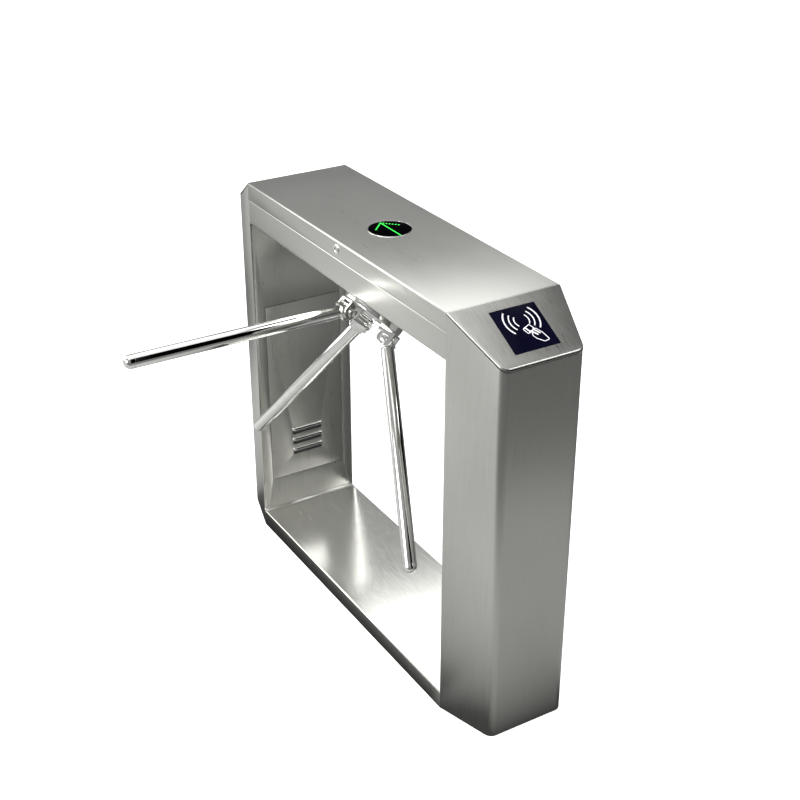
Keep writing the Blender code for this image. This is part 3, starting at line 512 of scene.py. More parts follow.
def softened(bm, width, segments=2, angle=30):
    """Bevel the sharp edges of a bmesh."""
    bmesh.ops.recalc_face_normals(bm, faces=bm.faces)
    edges = [edge for edge in bm.edges
             if len(edge.link_faces) == 2 and edge.calc_face_angle() > radians(angle)]
    if edges:
        bmesh.ops.bevel(bm, geom=edges, offset=width, offset_type="OFFSET", segments=segments,
                        profile=0.5, affect="EDGES", clamp_overlap=True)
    return bm


def cut(bm, tools):
    """Cut a list of bmesh tools out of a bmesh, and return the result as a bmesh."""
    def loose(name, source):
        bmesh.ops.recalc_face_normals(source, faces=source.faces)
        return new_object(name, as_mesh(name, source))

    base = loose("base", bm)
    helpers = []
    for tool in tools:
        helper = loose("tool", tool)
        helpers.append(helper)
        modifier = base.modifiers.new("cut", "BOOLEAN")
        modifier.operation = "DIFFERENCE"
        modifier.solver = "EXACT"
        modifier.object = helper
    graph = bpy.context.evaluated_depsgraph_get()
    made = bmesh.new()
    made.from_object(base, graph)
    for thing in [base] + helpers:
        mesh = thing.data
        bpy.data.objects.remove(thing)
        bpy.data.meshes.remove(mesh)
    bmesh.ops.remove_doubles(made, verts=made.verts, dist=1e-6)
    bmesh.ops.dissolve_limit(made, angle_limit=radians(0.5), verts=made.verts, edges=made.edges)
    return made


def piece(name, bm, finish, body, stands_for=(), sharp=32):
    """Make an object from a bmesh, ride it on its body and give it its finish."""
    bmesh.ops.recalc_face_normals(bm, faces=bm.faces)
    mesh = as_mesh(name, bm)
    mesh.shade_smooth()
    mesh.set_sharp_from_angle(angle=radians(sharp))
    mesh.materials.append(finish)
    thing = new_object(name, mesh)
    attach(thing, body)
    if stands_for:
        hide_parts(*stands_for)
    return thing


def stand_in(node, bm, finish, sharp=32):
    """A finer piece that is shown in place of one CAD node."""
    return piece(f"{node}_detail", bm, finish, BODY_OF[node], (node,), sharp)


def refined(node, finish, width=0.0004, segments=2, angle=30):
    """A copy of a CAD node with its sharp edges bevelled, shown in its place."""
    bm = bmesh.new()
    bm.from_mesh(frame["nodes"][node].data)
    bmesh.ops.remove_doubles(bm, verts=bm.verts, dist=2e-6)
    bmesh.ops.dissolve_limit(bm, angle_limit=radians(0.5), verts=bm.verts, edges=bm.edges)
    return stand_in(node, softened(bm, width, segments, angle), finish)


# ---------------- legs

RIDGE_STEPS = 6
END_TOP = HEIGHT - SLOPE_DROP * (LEG_LENGTH + CAP_OVERHANG) / LEG_LENGTH


def slope_angle():
    """Angle of the slope that leaves a rounded ridge and ends at the cap's lower edge."""
    angle = atan(SLOPE_DROP / LEG_LENGTH)
    for _ in range(20):
        start = RIDGE_ROUND * sin(angle)
        drop = HEIGHT - END_TOP - RIDGE_ROUND * (1 - cos(angle))
        angle = atan(drop / (LEG_LENGTH + CAP_OVERHANG - start))
    return angle


SLOPE = slope_angle()
SLOPE_START = RIDGE_ROUND * sin(SLOPE)


def top_height(x):
    """Height of a leg's cap at a distance from the leg's inner face."""
    if x < SLOPE_START:
        return HEIGHT - RIDGE_ROUND + (RIDGE_ROUND ** 2 - max(x, 0.0) ** 2) ** 0.5
    return HEIGHT - RIDGE_ROUND * (1 - cos(SLOPE)) - tan(SLOPE) * (x - SLOPE_START)


def half_width(x, inset):
    """Half of a leg's width at a distance from its inner face, less an inset."""
    return WIDTH / 2 - TAPER * x - inset * hypot(1.0, TAPER)


def leg_outline(inset, end):
    """A leg's outer side in plan, round from one inner edge to the other."""
    wide, narrow = half_width(0.0, inset), half_width(end, inset)
    corners = [(0.0, -wide), (end, -narrow), (end, narrow), (0.0, wide)]
    radius = LEG_CORNER - inset
    return rounded_path(corners, [radius, radius], 16)


def leg_shell_mesh():
    """The folded outer skin of a leg."""
    outline = leg_outline(0.0, LEG_LENGTH) + leg_outline(SHEET, LEG_LENGTH - SHEET)[::-1]
    bm = plate([outline], 0.0, HEIGHT)
    under_cap = CAP_THICKNESS / cos(SLOPE) + GAP
    for vert in bm.verts:
        if vert.co.z > HEIGHT / 2:
            lip = CAP_LIP_GAP if vert.co.x > LEG_LENGTH - LEG_CORNER else 0.0
            vert.co.z = top_height(vert.co.x) - under_cap - lip
    return softened(bm, 0.0003, 2, 60)


def cap_ring(inset, end):
    """Plan points of the cap's edge, with extra points where the ridge is rounded."""
    outline = leg_outline(inset, end - inset)
    ridge = [RIDGE_ROUND * sin(SLOPE * step / RIDGE_STEPS) for step in range(RIDGE_STEPS + 1)]
    front, rear = [], []
    for x in ridge:
        front.append((x, -half_width(x, inset)))
        rear.insert(0, (x, half_width(x, inset)))
    return front + outline[1:-1] + rear


def cap_mesh():
    """The sloping cap: a slab with a rounded ridge and rounded front, rear and end edges."""
    end = LEG_LENGTH + CAP_OVERHANG
    slab = CAP_THICKNESS / cos(SLOPE)
    rings = [(0.0005, slab), (0.0, slab - 0.0005)]
    for step in range(7):
        turn = pi / 2 * step / 6
        rings.append((CAP_ROUND * (1 - cos(turn)), CAP_ROUND * (1 - sin(turn))))
    bm = bmesh.new()
    loops = []
    for inset, drop in rings:
        loops.append([bm.verts.new((x, y, top_height(x) - drop)) for x, y in cap_ring(inset, end)])
    for lower, upper in zip(loops, loops[1:]):
        for i in range(len(lower) - 1):
            bm.faces.new((lower[i], lower[i + 1], upper[i + 1], upper[i]))
    for loop in (loops[0], loops[-1]):
        last = len(loop) - 1
        for i in range(last // 2):
            corners = [loop[i], loop[i + 1], loop[last - i - 1], loop[last - i]]
            bm.faces.new(list(dict.fromkeys(corners)))
    bm.faces.new([loop[0] for loop in loops] + [loop[-1] for loop in reversed(loops)])
    return bm


def slope_place(place):
    """Frame in the middle of a leg's slope, with Z along its outward normal and X down the slope."""
    middle = LEG_LENGTH / 2
    return place @ shift(middle, 0, top_height(middle)) @ Matrix.Rotation(SLOPE, 4, "Y")


def inner_panel_mesh():
    """The flat wall that faces the other leg, with the door opening."""
    edge = WIDTH / 2 - SHEET * (hypot(1.0, TAPER) + TAPER) - GAP
    half = DOOR_HALF + DOOR_SEAM
    outer = rectangle((-edge, 0.0), (edge, BEAM_UNDERSIDE - GAP))
    opening = rounded_loop(rectangle((-half, DOOR_BOTTOM - DOOR_SEAM), (half, DOOR_TOP + DOOR_SEAM)), 0.003)
    return softened(moved(plate([outer, opening], 0.0, SHEET), ALONG_X), 0.0004, 2, 60)


def louvre_shell(bm, level, inset):
    """One side of a hood's sheet, as a grid of points across and down it."""
    across, crest, down = 24, 11, 12
    depth, half, top = LOUVRE_DEPTH - inset, LOUVRE_WIDTH / 2 - inset, LOUVRE_HEIGHT / 2 - inset
    grid = []
    for i in range(across + 1):
        u = 2 * i / across - 1
        ease = min(1.0, (1 - abs(u)) * LOUVRE_WIDTH / 2 / LOUVRE_END)
        bulge = (1 - (1 - ease) ** 2.2) ** 0.5
        column = []
        for j in range(down + 1):
            turn = pi / 2 * min(j / crest, 1.0)
            z = top - depth * (1 - cos(turn))
            z += (LOUVRE_LIP - z) * max(0.0, (j - crest) / (down - crest))
            column.append(bm.verts.new((-depth * bulge * sin(turn), u * half, level + z)))
        grid.append(column)
    return grid


def louvre_mesh(level):
    """One pressed hood: crowned across its width, closed at its ends and open below."""
    bm = bmesh.new()
    outer, inner = [louvre_shell(bm, level, inset) for inset in (0.0, LID_SHEET)]
    across, down = len(outer) - 1, len(outer[0]) - 1
    for grid in (outer, inner):
        for i in range(across):
            for j in range(down):
                bm.faces.new((grid[i][j], grid[i + 1][j], grid[i + 1][j + 1], grid[i][j + 1]))
    for i in range(across):
        bm.faces.new((outer[i][down], outer[i + 1][down], inner[i + 1][down], inner[i][down]))
        bm.faces.new((outer[i + 1][0], outer[i][0], inner[i][0], inner[i + 1][0]))
    for i in (0, across):
        for j in range(down):
            bm.faces.new((outer[i][j], outer[i][j + 1], inner[i][j + 1], inner[i][j]))
    bmesh.ops.remove_doubles(bm, verts=bm.verts, dist=1e-6)
    return bm


def door_mesh(rear):
    """A leg door: a panel with a slot for each louvre, and two hinge barrels."""
    half = DOOR_HALF - DOOR_SEAM
    low, high = DOOR_BOTTOM + DOOR_SEAM, DOOR_TOP - DOOR_SEAM
    outline = rounded_loop(rectangle((-half, low), (half, high)), 0.0025)
    reach = LOUVRE_WIDTH / 2 - 0.002
    slots = []
    for level in LOUVRE_LEVELS:
        bottom, top = level - LOUVRE_HEIGHT / 2 + 0.0015, level + LOUVRE_HEIGHT / 2 - 0.002
        slots.append(rounded_loop(rectangle((-reach, bottom), (reach, top)), 0.002))
    parts = [softened(moved(plate([outline] + slots, 0.0, SHEET), ALONG_X), 0.0009, 3, 60)]
    for start in (low, high - BARREL_LENGTH):
        barrel = ring(BARREL_BORE, BARREL_RADIUS, start, start + BARREL_LENGTH, 0.0003, 2, 32)
        parts.append(moved(barrel, shift(DOOR_HINGE_X, rear * DOOR_HINGE_Y, 0)))
    return merged(parts)


def louvres(side, place):
    """A door's louvre hoods, and the black dust guard behind them, whose black paints the shade seen through
    the slots.
    """
    hoods = moved(merged([louvre_mesh(level) for level in LOUVRE_LEVELS]), shift(0.0004, 0, 0))
    # The hoods take the lighter copy of the steel: painted light
    piece(f"{side}_door_louvres", moved(hoods, place), STEEL_LOUVRE_LIT, f"{side}_door")
    # A black sheet behind the slots: a dust guard, and painted shade for the dark inside of the leg seen
    # through them
    margin = LOUVRE_HEIGHT / 2 + 0.004
    reach = LOUVRE_WIDTH / 2 + 0.004
    shade_screen = box((SHEET + 0.0002, -reach, LOUVRE_LEVELS[-1] - margin),
                 (SHEET + 0.0014, reach, LOUVRE_LEVELS[0] + margin))
    shade_screen = moved(softened(shade_screen, 0.0003), place)
    piece(f"{side}_door_shade_screen", shade_screen, BLACK, f"{side}_door")


def legs():
    """Skins, caps, panels, doors and their small parts on both legs."""
    for side, turn, rear in (("near", 0.0, 1), ("far", pi, -1)):
        place = shift(INNER_X * cos(turn), 0, 0) @ Matrix.Rotation(turn, 4, "Z")
        stand_in(f"{side}_leg_shell", moved(leg_shell_mesh(), place), STEEL_Z)
        cap = moved(cap_mesh(), place)
        if side == "near":
            hole = WINDOW / 2 + WINDOW_SEAT
            cap = cut(cap, [moved(box((-hole, -hole, -0.02), (hole, hole, 0.02)), slope_place(place))])
            reader(place)
        # The cap takes the darker copy of the steel: painted shade
        stand_in(f"{side}_leg_cap", cap, STEEL_SLOPE_SHADED)
        # The inner panel and the door take the darker copy of the steel: painted shade
        stand_in(f"{side}_leg_inner_panel", moved(inner_panel_mesh(), place), STEEL_INNER_SHADED)
        stand_in(f"{side}_leg_door", moved(door_mesh(rear), place), STEEL_INNER_SHADED)
        louvres(side, place)
        refined(f"{side}_foot_plate", ZINC, 0.0005)
        for end in ("top", "bottom"):
            refined(f"{side}_door_hinge_{end}", ZINC, 0.0004)


# ---------------- card reader

def stroke(points, width, thickness):
    """A raised line of a constant width along points in a plane."""
    half = width / 2
    path = [Vector(point) for point in points]
    left = offset_path(path, half)
    right = offset_path(path, -half)
    caps = []
    for end, before in ((path[-1], path[-2]), (path[0], path[1])):
        away = end - before
        heading = atan2(away.y, away.x)
        caps.append(arc(end, half, heading + pi / 2, heading - pi / 2, 6)[1:-1])
    return plate([left + caps[0] + right[::-1] + caps[1]], 0.0, thickness)


def reader(place):
    """Dark window in the slope, its printed card symbol, and the antenna module behind it."""
    slope = slope_place(place)
    half = WINDOW / 2 - 0.0001
    outline = rounded_loop(rectangle((-half, -half), (half, half)), 0.0012, 4)
    glass = softened(plate([outline], -WINDOW_THICKNESS, 0.0002), 0.0004, 3, 60)
    stand_in("reader_window", moved(glass, slope), GLASS)

    def spot(u, v):
        """Window coordinates: u from the passage side, v down the slope."""
        return ((v - 0.5) * WINDOW, (u - 0.5) * WINDOW)

    centre = spot(0.53, 0.33)
    spread = radians(40)
    thick = 0.00025
    marks = []
    for heading in (-pi / 2, pi / 2):
        for reach, wide in ((0.155, 0.0024), (0.255, 0.0027), (0.365, 0.0031)):
            path = arc(centre, reach * WINDOW, heading - spread, heading + spread, 20)
            marks.append(stroke(path, wide, thick))
    card = rounded_loop([spot(0.45, 0.52), spot(0.62, 0.45), spot(0.68, 0.57), spot(0.50, 0.64)], 0.0020, 4)
    marks.append(stroke(card + card[:1], 0.0018, thick))
    marks.append(stroke([spot(0.505, 0.50), spot(0.56, 0.615)], 0.0034, thick))
    hand = [spot(0.60, 0.60), spot(0.70, 0.56), spot(0.78, 0.68), spot(0.84, 0.86), spot(0.72, 0.88),
            spot(0.60, 0.78), spot(0.56, 0.70)]
    hand = rounded_loop(hand, 0.0025, 4)
    marks.append(stroke(hand + hand[:1], 0.0018, thick))
    for start, end in (((0.58, 0.60), (0.67, 0.70)), ((0.64, 0.57), (0.73, 0.68))):
        marks.append(stroke([spot(*start), spot(*end)], 0.0032, thick))
    bm = moved(merged(marks), slope @ shift(0, 0, 0.0002))
    # The printed symbol glows: painted light
    piece("reader_symbol", bm, PRINT_GLOWING, "cabinet")
    refined("reader_module", BLACK, 0.0012, 3)


# ---------------- beam, lid and plinth

def folded(path, thickness, radii):
    """A folded sheet that spans the gap between the two legs."""
    end = INNER_X - GAP
    bm = moved(plate([bent_sheet(path, thickness, radii)], -end, end), ALONG_X)
    return softened(bm, 0.0004, 2, 60)


def tripod_place():
    """The tripod's frame: Z runs up its axis into the beam, and arm a leans towards -Y."""
    return Matrix.Translation(APEX) @ Matrix.Rotation(-pi / 4, 4, "X")


def beam():
    """Beam casing, plinth cover and plinth support."""
    half = WIDTH / 2
    path = [(BEAM_RETURN - half, BEAM_FRONT_TOP), (-half, BEAM_FRONT_TOP), (-half, BEAM_UNDERSIDE),
            (half, BEAM_UNDERSIDE), (half, BEAM_REAR_TOP)]
    casing = folded(path, SHEET, [RETURN_BEND, BEAM_BEND, BEAM_BEND])
    bore = moved(rod(HOUSING_RADIUS + 2 * GAP, 0.0, 0.2, 64), tripod_place())
    stand_in("beam_casing", cut(casing, [bore]), STEEL_X)
    path = [(half, 0.0), (half, PLINTH_HEIGHT), (-half, PLINTH_HEIGHT), (-half, 0.0)]
    # The plinth cover takes the lighter copy of the steel: painted light
    stand_in("plinth_cover", folded(path, SHEET, [PLINTH_BEND, PLINTH_BEND]), STEEL_PLINTH_LIT)
    for name, side in (("far", -1), ("near", 1)):
        wall = side * (INNER_X - GAP)
        section = [(wall, PLINTH_HEIGHT - 0.0003), (wall - side * TRIM[0], PLINTH_HEIGHT - 0.0003),
                   (wall - side * TRIM[0], PLINTH_HEIGHT + 0.0002), (wall, PLINTH_HEIGHT + TRIM[1])]
        strip = plate([section if side < 0 else section[::-1]], PLINTH_BEND - half, half - PLINTH_BEND)
        strip = softened(moved(strip, Matrix.Rotation(pi / 2, 4, "X")), 0.0002, 2, 60)
        piece(f"{name}_plinth_trim", strip, STEEL_BRIGHT, "cabinet")
    refined("plinth_support", ZINC, 0.0008)


def lock_place():
    """The lock's place: its local Z points out of the lid's front band."""
    return shift(0, -WIDTH / 2, LOCK_Z) @ Matrix.Rotation(pi / 2, 4, "X")


def lid():
    """The lid with its indicator, lock and hinge."""
    half = WIDTH / 2
    path = [(half, LID_REAR_BOTTOM), (half, HEIGHT), (-half, HEIGHT), (-half, LID_FRONT_BOTTOM)]
    cover = folded(path, LID_SHEET, [LID_BEND, LID_BEND])
    holes = [moved(rod(BEZEL_RADIUS + GAP, -0.02, 0.02, 96), shift(0, 0, HEIGHT)),
             moved(rod(LOCK_BARREL + GAP, -0.01, 0.01), lock_place())]
    stand_in("lid", cut(cover, holes), STEEL_X)
    indicator()
    lock()
    for leaf in ("fixed", "moving"):
        refined(f"lid_hinge_{leaf}_leaf", ZINC, 0.0003)


def indicator():
    """Bezel ring, dark lens, and the dots of light that make its arrow."""
    top = shift(0, 0, HEIGHT)
    bezel = ring(LENS_RADIUS + 0.0002, BEZEL_RADIUS, -BEZEL_DEPTH, BEZEL_RISE, 0.0004, 3, 96)
    stand_in("indicator_bezel", moved(bezel, top), CHROME)
    lens = ring(0, LENS_RADIUS, -LENS_DEPTH, LENS_RISE, 0.0004, 3, 96)
    stand_in("indicator_lens", moved(lens, top), LENS)
    dots = [(ARROW_TIP + step * SHAFT_PITCH, 0.0) for step in range(SHAFT_DOTS)]
    for step in range(1, BARB_DOTS + 1):
        dots += [(ARROW_TIP + step * BARB_PITCH[0], side * step * BARB_PITCH[1]) for side in (-1, 1)]
    dome = [(0, 0.0), (0.0021, 0.0), (0.0019, 0.00018), (0.0012, 0.0003), (0, 0.00035)]
    beads = [moved(turned(dome, 16), shift(x, y, HEIGHT + LENS_RISE)) for x, y in dots]
    piece("indicator_arrow", merged(beads), GREEN_LIGHT, "lid")
    refined("indicator_board", BOARD, 0.0003)


def lock():
    """Cam lock in the lid's front band."""
    bore = LOCK_BORE + GAP
    barrel = [(bore, -LOCK_DEPTH), (LOCK_BARREL, -LOCK_DEPTH), (LOCK_BARREL, GAP), (LOCK_FLANGE, GAP),
              (LOCK_FLANGE, 0.0020), (bore, 0.0024)]
    stand_in("lock_barrel", moved(turned(rounded_loop(barrel, 0.0002, 2)), lock_place()), CHROME)
    refined("lock_plug", STEEL_INNER_SHADED, 0.0002)
    refined("lock_striker", ZINC, 0.0003)


# ---------------- tripod

def tripod():
    """Hub, brackets, pins and arms."""
    base = tripod_place()
    hub = ring(0, HUB_RADIUS, -HUB_OUTER, -HUB_INNER, 0.004, 6, 96)
    stand_in("hub_disc", moved(hub, base), CHROME)
    refined("main_shaft", MACHINED, 0.0005)
    refined("index_wheel", ZINC, 0.0004)
    for letter, turn in ARM_TURNS.items():
        spoke = base @ Matrix.Rotation(turn, 4, "Z")
        refined(f"bracket_{letter}", CHROME, 0.0012, 3)
        refined(f"pin_{letter}", CHROME, 0.0006)
        arm(letter, spoke)


def arm(letter, spoke):
    """One arm: the root block, the tube and its domed cap."""
    offset = PIN_REACH * sin(pi / 4)
    place = spoke @ shift(0, -offset, -offset) @ Matrix.Rotation(3 * pi / 4, 4, "X")
    refined(f"arm_{letter}_root", CHROME, 0.0012, 3)
    bore = ARM_RADIUS - ARM_WALL
    tube = ring(bore, ARM_RADIUS, ARM_ROOT_END + GAP, ARM_CAP_START - 0.0001, 0.0002, 2, 64)
    stand_in(f"arm_{letter}_tube", moved(tube, place), CHROME)
    inside = bore - GAP
    dome = arc((0, ARM_TIP), ARM_RADIUS, 0.0, pi / 2, 12)[:-1]
    cap = [(0, ARM_CAP_START - 0.02), (inside, ARM_CAP_START - 0.02), (inside, ARM_CAP_START),
           (ARM_RADIUS - 0.0002, ARM_CAP_START), (ARM_RADIUS, ARM_CAP_START + 0.0002)] + dome
    cap.append((0, ARM_TIP + ARM_RADIUS))
    stand_in(f"arm_{letter}_cap", moved(turned(cap, 64), place), CHROME)


def mechanism():
    """Parts inside the beam."""
    for node, finish, width in (
            ("bearing_housing", STEEL_Z, 0.001), ("lower_bearing", MACHINED, 0.0005),
            ("upper_bearing", MACHINED, 0.0005), ("mechanism_plate", ZINC, 0.0005),
            ("position_sensor", BLACK, 0.0006), ("entry_pawl", ZINC, 0.0005), ("exit_pawl", ZINC, 0.0005),
            ("entry_plunger", MACHINED, 0.0006), ("exit_plunger", MACHINED, 0.0006),
            ("entry_solenoid", COIL, 0.0008), ("exit_solenoid", COIL, 0.0008),
            ("power_supply", ZINC, 0.0008), ("lid_hinge_pin", MACHINED, 0.0002)):
        refined(node, finish, width)


def spacers(top):
    """Spacers under the board's corners, and the screws that hold it on them."""
    parts = []
    for x in (BOARD_LOW[0] + SPACER_INSET, BOARD_HIGH[0] - SPACER_INSET):
        for y in (BOARD_LOW[1] + SPACER_INSET, BOARD_HIGH[1] - SPACER_INSET):
            post = rod(SPACER_RADIUS, BEAM_FLOOR, BOARD_LEVEL - 0.0001, 24)
            screw = rod(SCREW_RADIUS, top, top + 0.0014, 24)
            parts.append(moved(merged([post, screw]), shift(x, y, 0)))
    return parts


def terminals(top):
    """The row of terminals: its blocks, their dark wire mouths, and their slotted screw heads."""
    blocks, mouths, heads = [], [], []
    x, y = TERMINAL_LOW
    far, crest = y + TERMINAL_DEPTH, BOARD_LEVEL + TERMINAL_HEIGHT
    section = [(y, top), (far, top), (far, crest - 0.005), (far - 0.004, crest), (y + 0.002, crest),
               (y, crest - 0.002)]
    for pole in range(POLES):
        start = x + pole * POLE_PITCH
        end = start + POLE_PITCH - 0.0005
        blocks.append(softened(moved(plate([section], start, end), ALONG_X), 0.0004))
        mouth = box((start + 0.004, far - 0.001, top + 0.0015), (end - 0.004, far + 0.0001, top + 0.006))
        mouths.append(mouth)
        middle = shift((start + end) / 2, y + 0.009, 0)
        for side in (0.0, pi):
            half = arc((0, 0.0004 * cos(side)), 0.0028, side, side + pi, 12)
            heads.append(moved(plate([half], crest - 0.001, crest + 0.0003), middle))
    return blocks, mouths, heads


def relays(top):
    """Two relays, each a base and a case."""
    parts = []
    rim = Vector((0.0006, 0.0006))
    for index in (0, 1):
        low = Vector(RELAY_LOW) + Vector((index * (RELAY_SIZE[0] + 0.001), 0))
        high = low + Vector(RELAY_SIZE)
        base = box((*low, top), (*high, top + 0.003))
        case = box((*(low + rim), top + 0.003), (*(high - rim), BOARD_LEVEL + RELAY_HEIGHT))
        parts += [softened(base, 0.0004), softened(case, 0.0010, 3)]
    return parts


def processor(top):
    """The processor's body, and the leads along its four sides."""
    place = shift(*PROCESSOR_PLACE, 0)
    body = PROCESSOR_HALF - 0.002
    case = softened(box((-body, -body, top + 0.0006), (body, body, BOARD_LEVEL + 0.006)), 0.0006)
    leads = []
    for quarter in range(4):
        for lead in range(LEADS):
            along = (lead - (LEADS - 1) / 2) * 2 * body / (LEADS + 1)
            pin = box((body - 0.0004, along - 0.0005, top), (PROCESSOR_HALF, along + 0.0005, top + 0.0011))
            leads.append(moved(pin, place @ Matrix.Rotation(quarter * pi / 2, 4, "Z")))
    return moved(case, place), leads


def control_board():
    """The board in the beam, with its spacers, terminals, relays and processor."""
    top = BOARD_LEVEL + BOARD_THICKNESS
    slab = box((*BOARD_LOW, BOARD_LEVEL), (*BOARD_HIGH, top))
    stand_in("control_board", softened(slab, 0.0003), BOARD)
    blocks, mouths, heads = terminals(top)
    case, leads = processor(top)
    piece("board_terminals", merged(blocks), TERMINAL, "cabinet")
    piece("board_components", merged(relays(top) + [case] + mouths), BLACK, "cabinet")
    piece("board_metal", merged(spacers(top) + heads + leads), MACHINED, "cabinet")


# ---------------- stage

# Half width of the floor, and how far below it the card lies that the steel mirrors in its place
FLOOR_HALF, CARD_DROP = 30.0, 0.0005
# The open floor before the cabinet: its brightness, and the brightness that is everywhere
OPEN_FLOOR, ALL_FLOOR = 0.48, 0.20
# Centre, inner and outer radius, and strength of each pool of light on the floor card
FLOOR_POOLS = (
    ((-1.30, -1.30), 0.10, 1.50, 0.28),
    ((-0.95, -0.15), 0.10, 1.10, 0.28),
    ((0.85, 0.15), 0.10, 1.80, 0.30),
    ((1.50, 0.60), 0.10, 0.50, 0.08),
    ((-2.00, -0.10), 0.20, 0.90, -0.22),
    ((-0.20, 0.25), 0.05, 0.90, 0.15),
)
# The dark contact zone round the cabinet: light falls as (reach + first) / (reach + second), to a power
CONTACT, CONTACT_POWER = (0.015, 0.065), 1.5
# How much faster the contact zone ends beside the cabinet, before it and behind it
BESIDE, AHEAD, BEHIND = 1.2, 1.0, 2.0
# The share of light left in the painted shadow strip before the plinth
PLINTH_SHADOW_SHARE = 0.42
# Rays deeper than this are reflections of reflections, and get extra light from the floor and the sky
SECOND_DEPTH, SECOND_FLOOR, SECOND_SKY = 2.5, 0.5, 0.52
# Strength of the ceiling box, the low strip, and the ceiling behind as second reflections see it
CEILING, STRIP, BACKLIGHT = 1.2, 2.6, 5.0
# Direction, inner and outer angle, and strength of each soft light in the sky
GLOWS = (
    ((-0.410, 0.400, 0.820), 3.0, 22.0, 2.2),
    ((0.080, -0.950, 0.300), 8.0, 22.0, 5.0),
    ((0.380, 0.580, 0.720), 6.0, 14.0, 4.5),
)


def sheet(name, corners):
    """A flat sheet of the stage."""
    mesh = bpy.data.meshes.new(name)
    mesh.from_pydata(corners, [], [(0, 1, 2, 3)])
    thing = new_object(name, mesh)
    return thing


def square(half):
    """Corners of a level square round the origin."""
    return [(x, y, 0.0) for x, y in rectangle((-half, -half), (half, half))]


def floor():
    """A plain pale floor, which the steel doesn't mirror."""
    thing = sheet("floor", square(FLOOR_HALF))
    material, shader, _ = new_material("floor")
    fill(shader, {
        "Base Color": (0.9, 0.9, 0.9, 1.0), "Roughness": 0.9, "Specular IOR Level": 0.0,
        "Emission Color": (1.0, 1.0, 1.0, 1.0), "Emission Strength": 0.75})
    thing.data.materials.append(material)
    thing.visible_glossy = False


def step_mask(value, start, end):
    """0 before start and 1 after end, with a soft edge; start may lie after end."""
    if start < end:
        return remap(value, start, end, 0.0, 1.0, True)
    return remap(value, end, start, 1.0, 0.0, True)


def window(*edges):
    """1 where every soft edge is passed; each edge is a value, a start and an end."""
    return product(*[step_mask(*edge) for edge in edges])


def length(*sides):
    """Length of a vector from its sides."""
    squares = [product(side, side) for side in sides]
    return maths("SQRT", total(*squares))


def pool(x, y, centre, inner, outer, strength):
    """A soft round pool of light on the floor card."""
    reach = length(maths("SUBTRACT", x, centre[0]), maths("SUBTRACT", y, centre[1]))
    return product(step_mask(reach, outer, inner), strength)


def empty_tree(owner):
    """The node tree of a material or a world, emptied."""
    owner.use_nodes = True
    owner.node_tree.nodes.clear()
    return owner.node_tree


def axes(tree, kind):
    """X, Y and Z of one kind of texture coordinate."""
    split = add(tree, "SeparateXYZ", {0: add(tree, "TexCoord").outputs[kind]})
    return tuple(split.outputs)


def again(tree):
    """1 for reflections of reflections, and 0 for what the camera or a first reflection sees."""
    return maths("GREATER_THAN", add(tree, "LightPath").outputs["Ray Depth"], SECOND_DEPTH)


def mirrored_card(name, corners):
    """A card that reflections alone can see: the object, its empty node tree and its X, Y and Z."""
    thing = sheet(name, corners)
    material = bpy.data.materials.new(name)
    thing.data.materials.append(material)
    thing.visible_camera = False
    thing.visible_diffuse = False
    thing.visible_shadow = False
    tree = empty_tree(material)
    return thing, tree, axes(tree, "Object")


def emission(tree, strength, colour=(1, 1, 1, 1)):
    """A plain glow."""
    return add(tree, "Emission", {"Color": colour, "Strength": strength}).outputs[0]


def veiled(tree, cover, seen, hidden):
    """Output one shader where cover is 1 and another where it is 0."""
    mixed = add(tree, "MixShader", {0: cover, 1: hidden, 2: seen})
    add(tree, "OutputMaterial", {0: mixed.outputs[0]})


def contact_shade(x, y):
    """The dark zone on the floor round the cabinet, darkest before the plinth."""
    ahead = maths("SUBTRACT", product(y, -1.0), WIDTH / 2)
    behind = maths("SUBTRACT", y, WIDTH / 2)
    beside = maths("SUBTRACT", maths("ABSOLUTE", x), LENGTH / 2)
    clear = [product(maths("MAXIMUM", side, 0.0), weight)
             for side, weight in ((beside, BESIDE), (ahead, AHEAD), (behind, BEHIND))]
    reach = length(*clear)
    ratio = maths("DIVIDE", total(reach, CONTACT[0]), total(reach, CONTACT[1]))
    # A painted shadow strip on the floor card, just before the plinth
    plinth_shadow = window((ahead, 0.085, 0.045), (x, -0.62, -0.52), (x, 0.45, 0.40))
    contact = maths("POWER", ratio, CONTACT_POWER)
    return product(contact, remap(plinth_shadow, 0.0, 1.0, 1.0, PLINTH_SHADOW_SHARE))


def floor_card():
    """The floor as the steel mirrors it: pools of light, and a dark contact zone round the cabinet."""
    thing, tree, (x, y, _) = mirrored_card("floor_card", square(FLOOR_HALF))
    thing.location = (0, 0, -CARD_DROP)
    open_side = window((y, 0.45, -0.9), (x, 1.45, 0.62))
    light = total(product(open_side, OPEN_FLOOR), ALL_FLOOR,
                  *[pool(x, y, *patch) for patch in FLOOR_POOLS])
    light = product(light, contact_shade(x, y))
    light = total(light, product(again(tree), SECOND_FLOOR))
    add(tree, "OutputMaterial", {0: emission(tree, light, (1, 1, 0.99, 1))})


def shade_card():
    """A dark card above the slope that dims the slope's rear side."""
    thing, tree, (x, y, _) = mirrored_card("shade_card", square(0.45))
    thing.location = (0.50, 0.75, 1.50)
    cover = product(window((y, -0.45, -0.20), (x, -0.45, -0.30), (x, 0.28, 0.15)), 0.85)
    veiled(tree, cover, emission(tree, 0.02), add(tree, "BsdfTransparent").outputs[0])


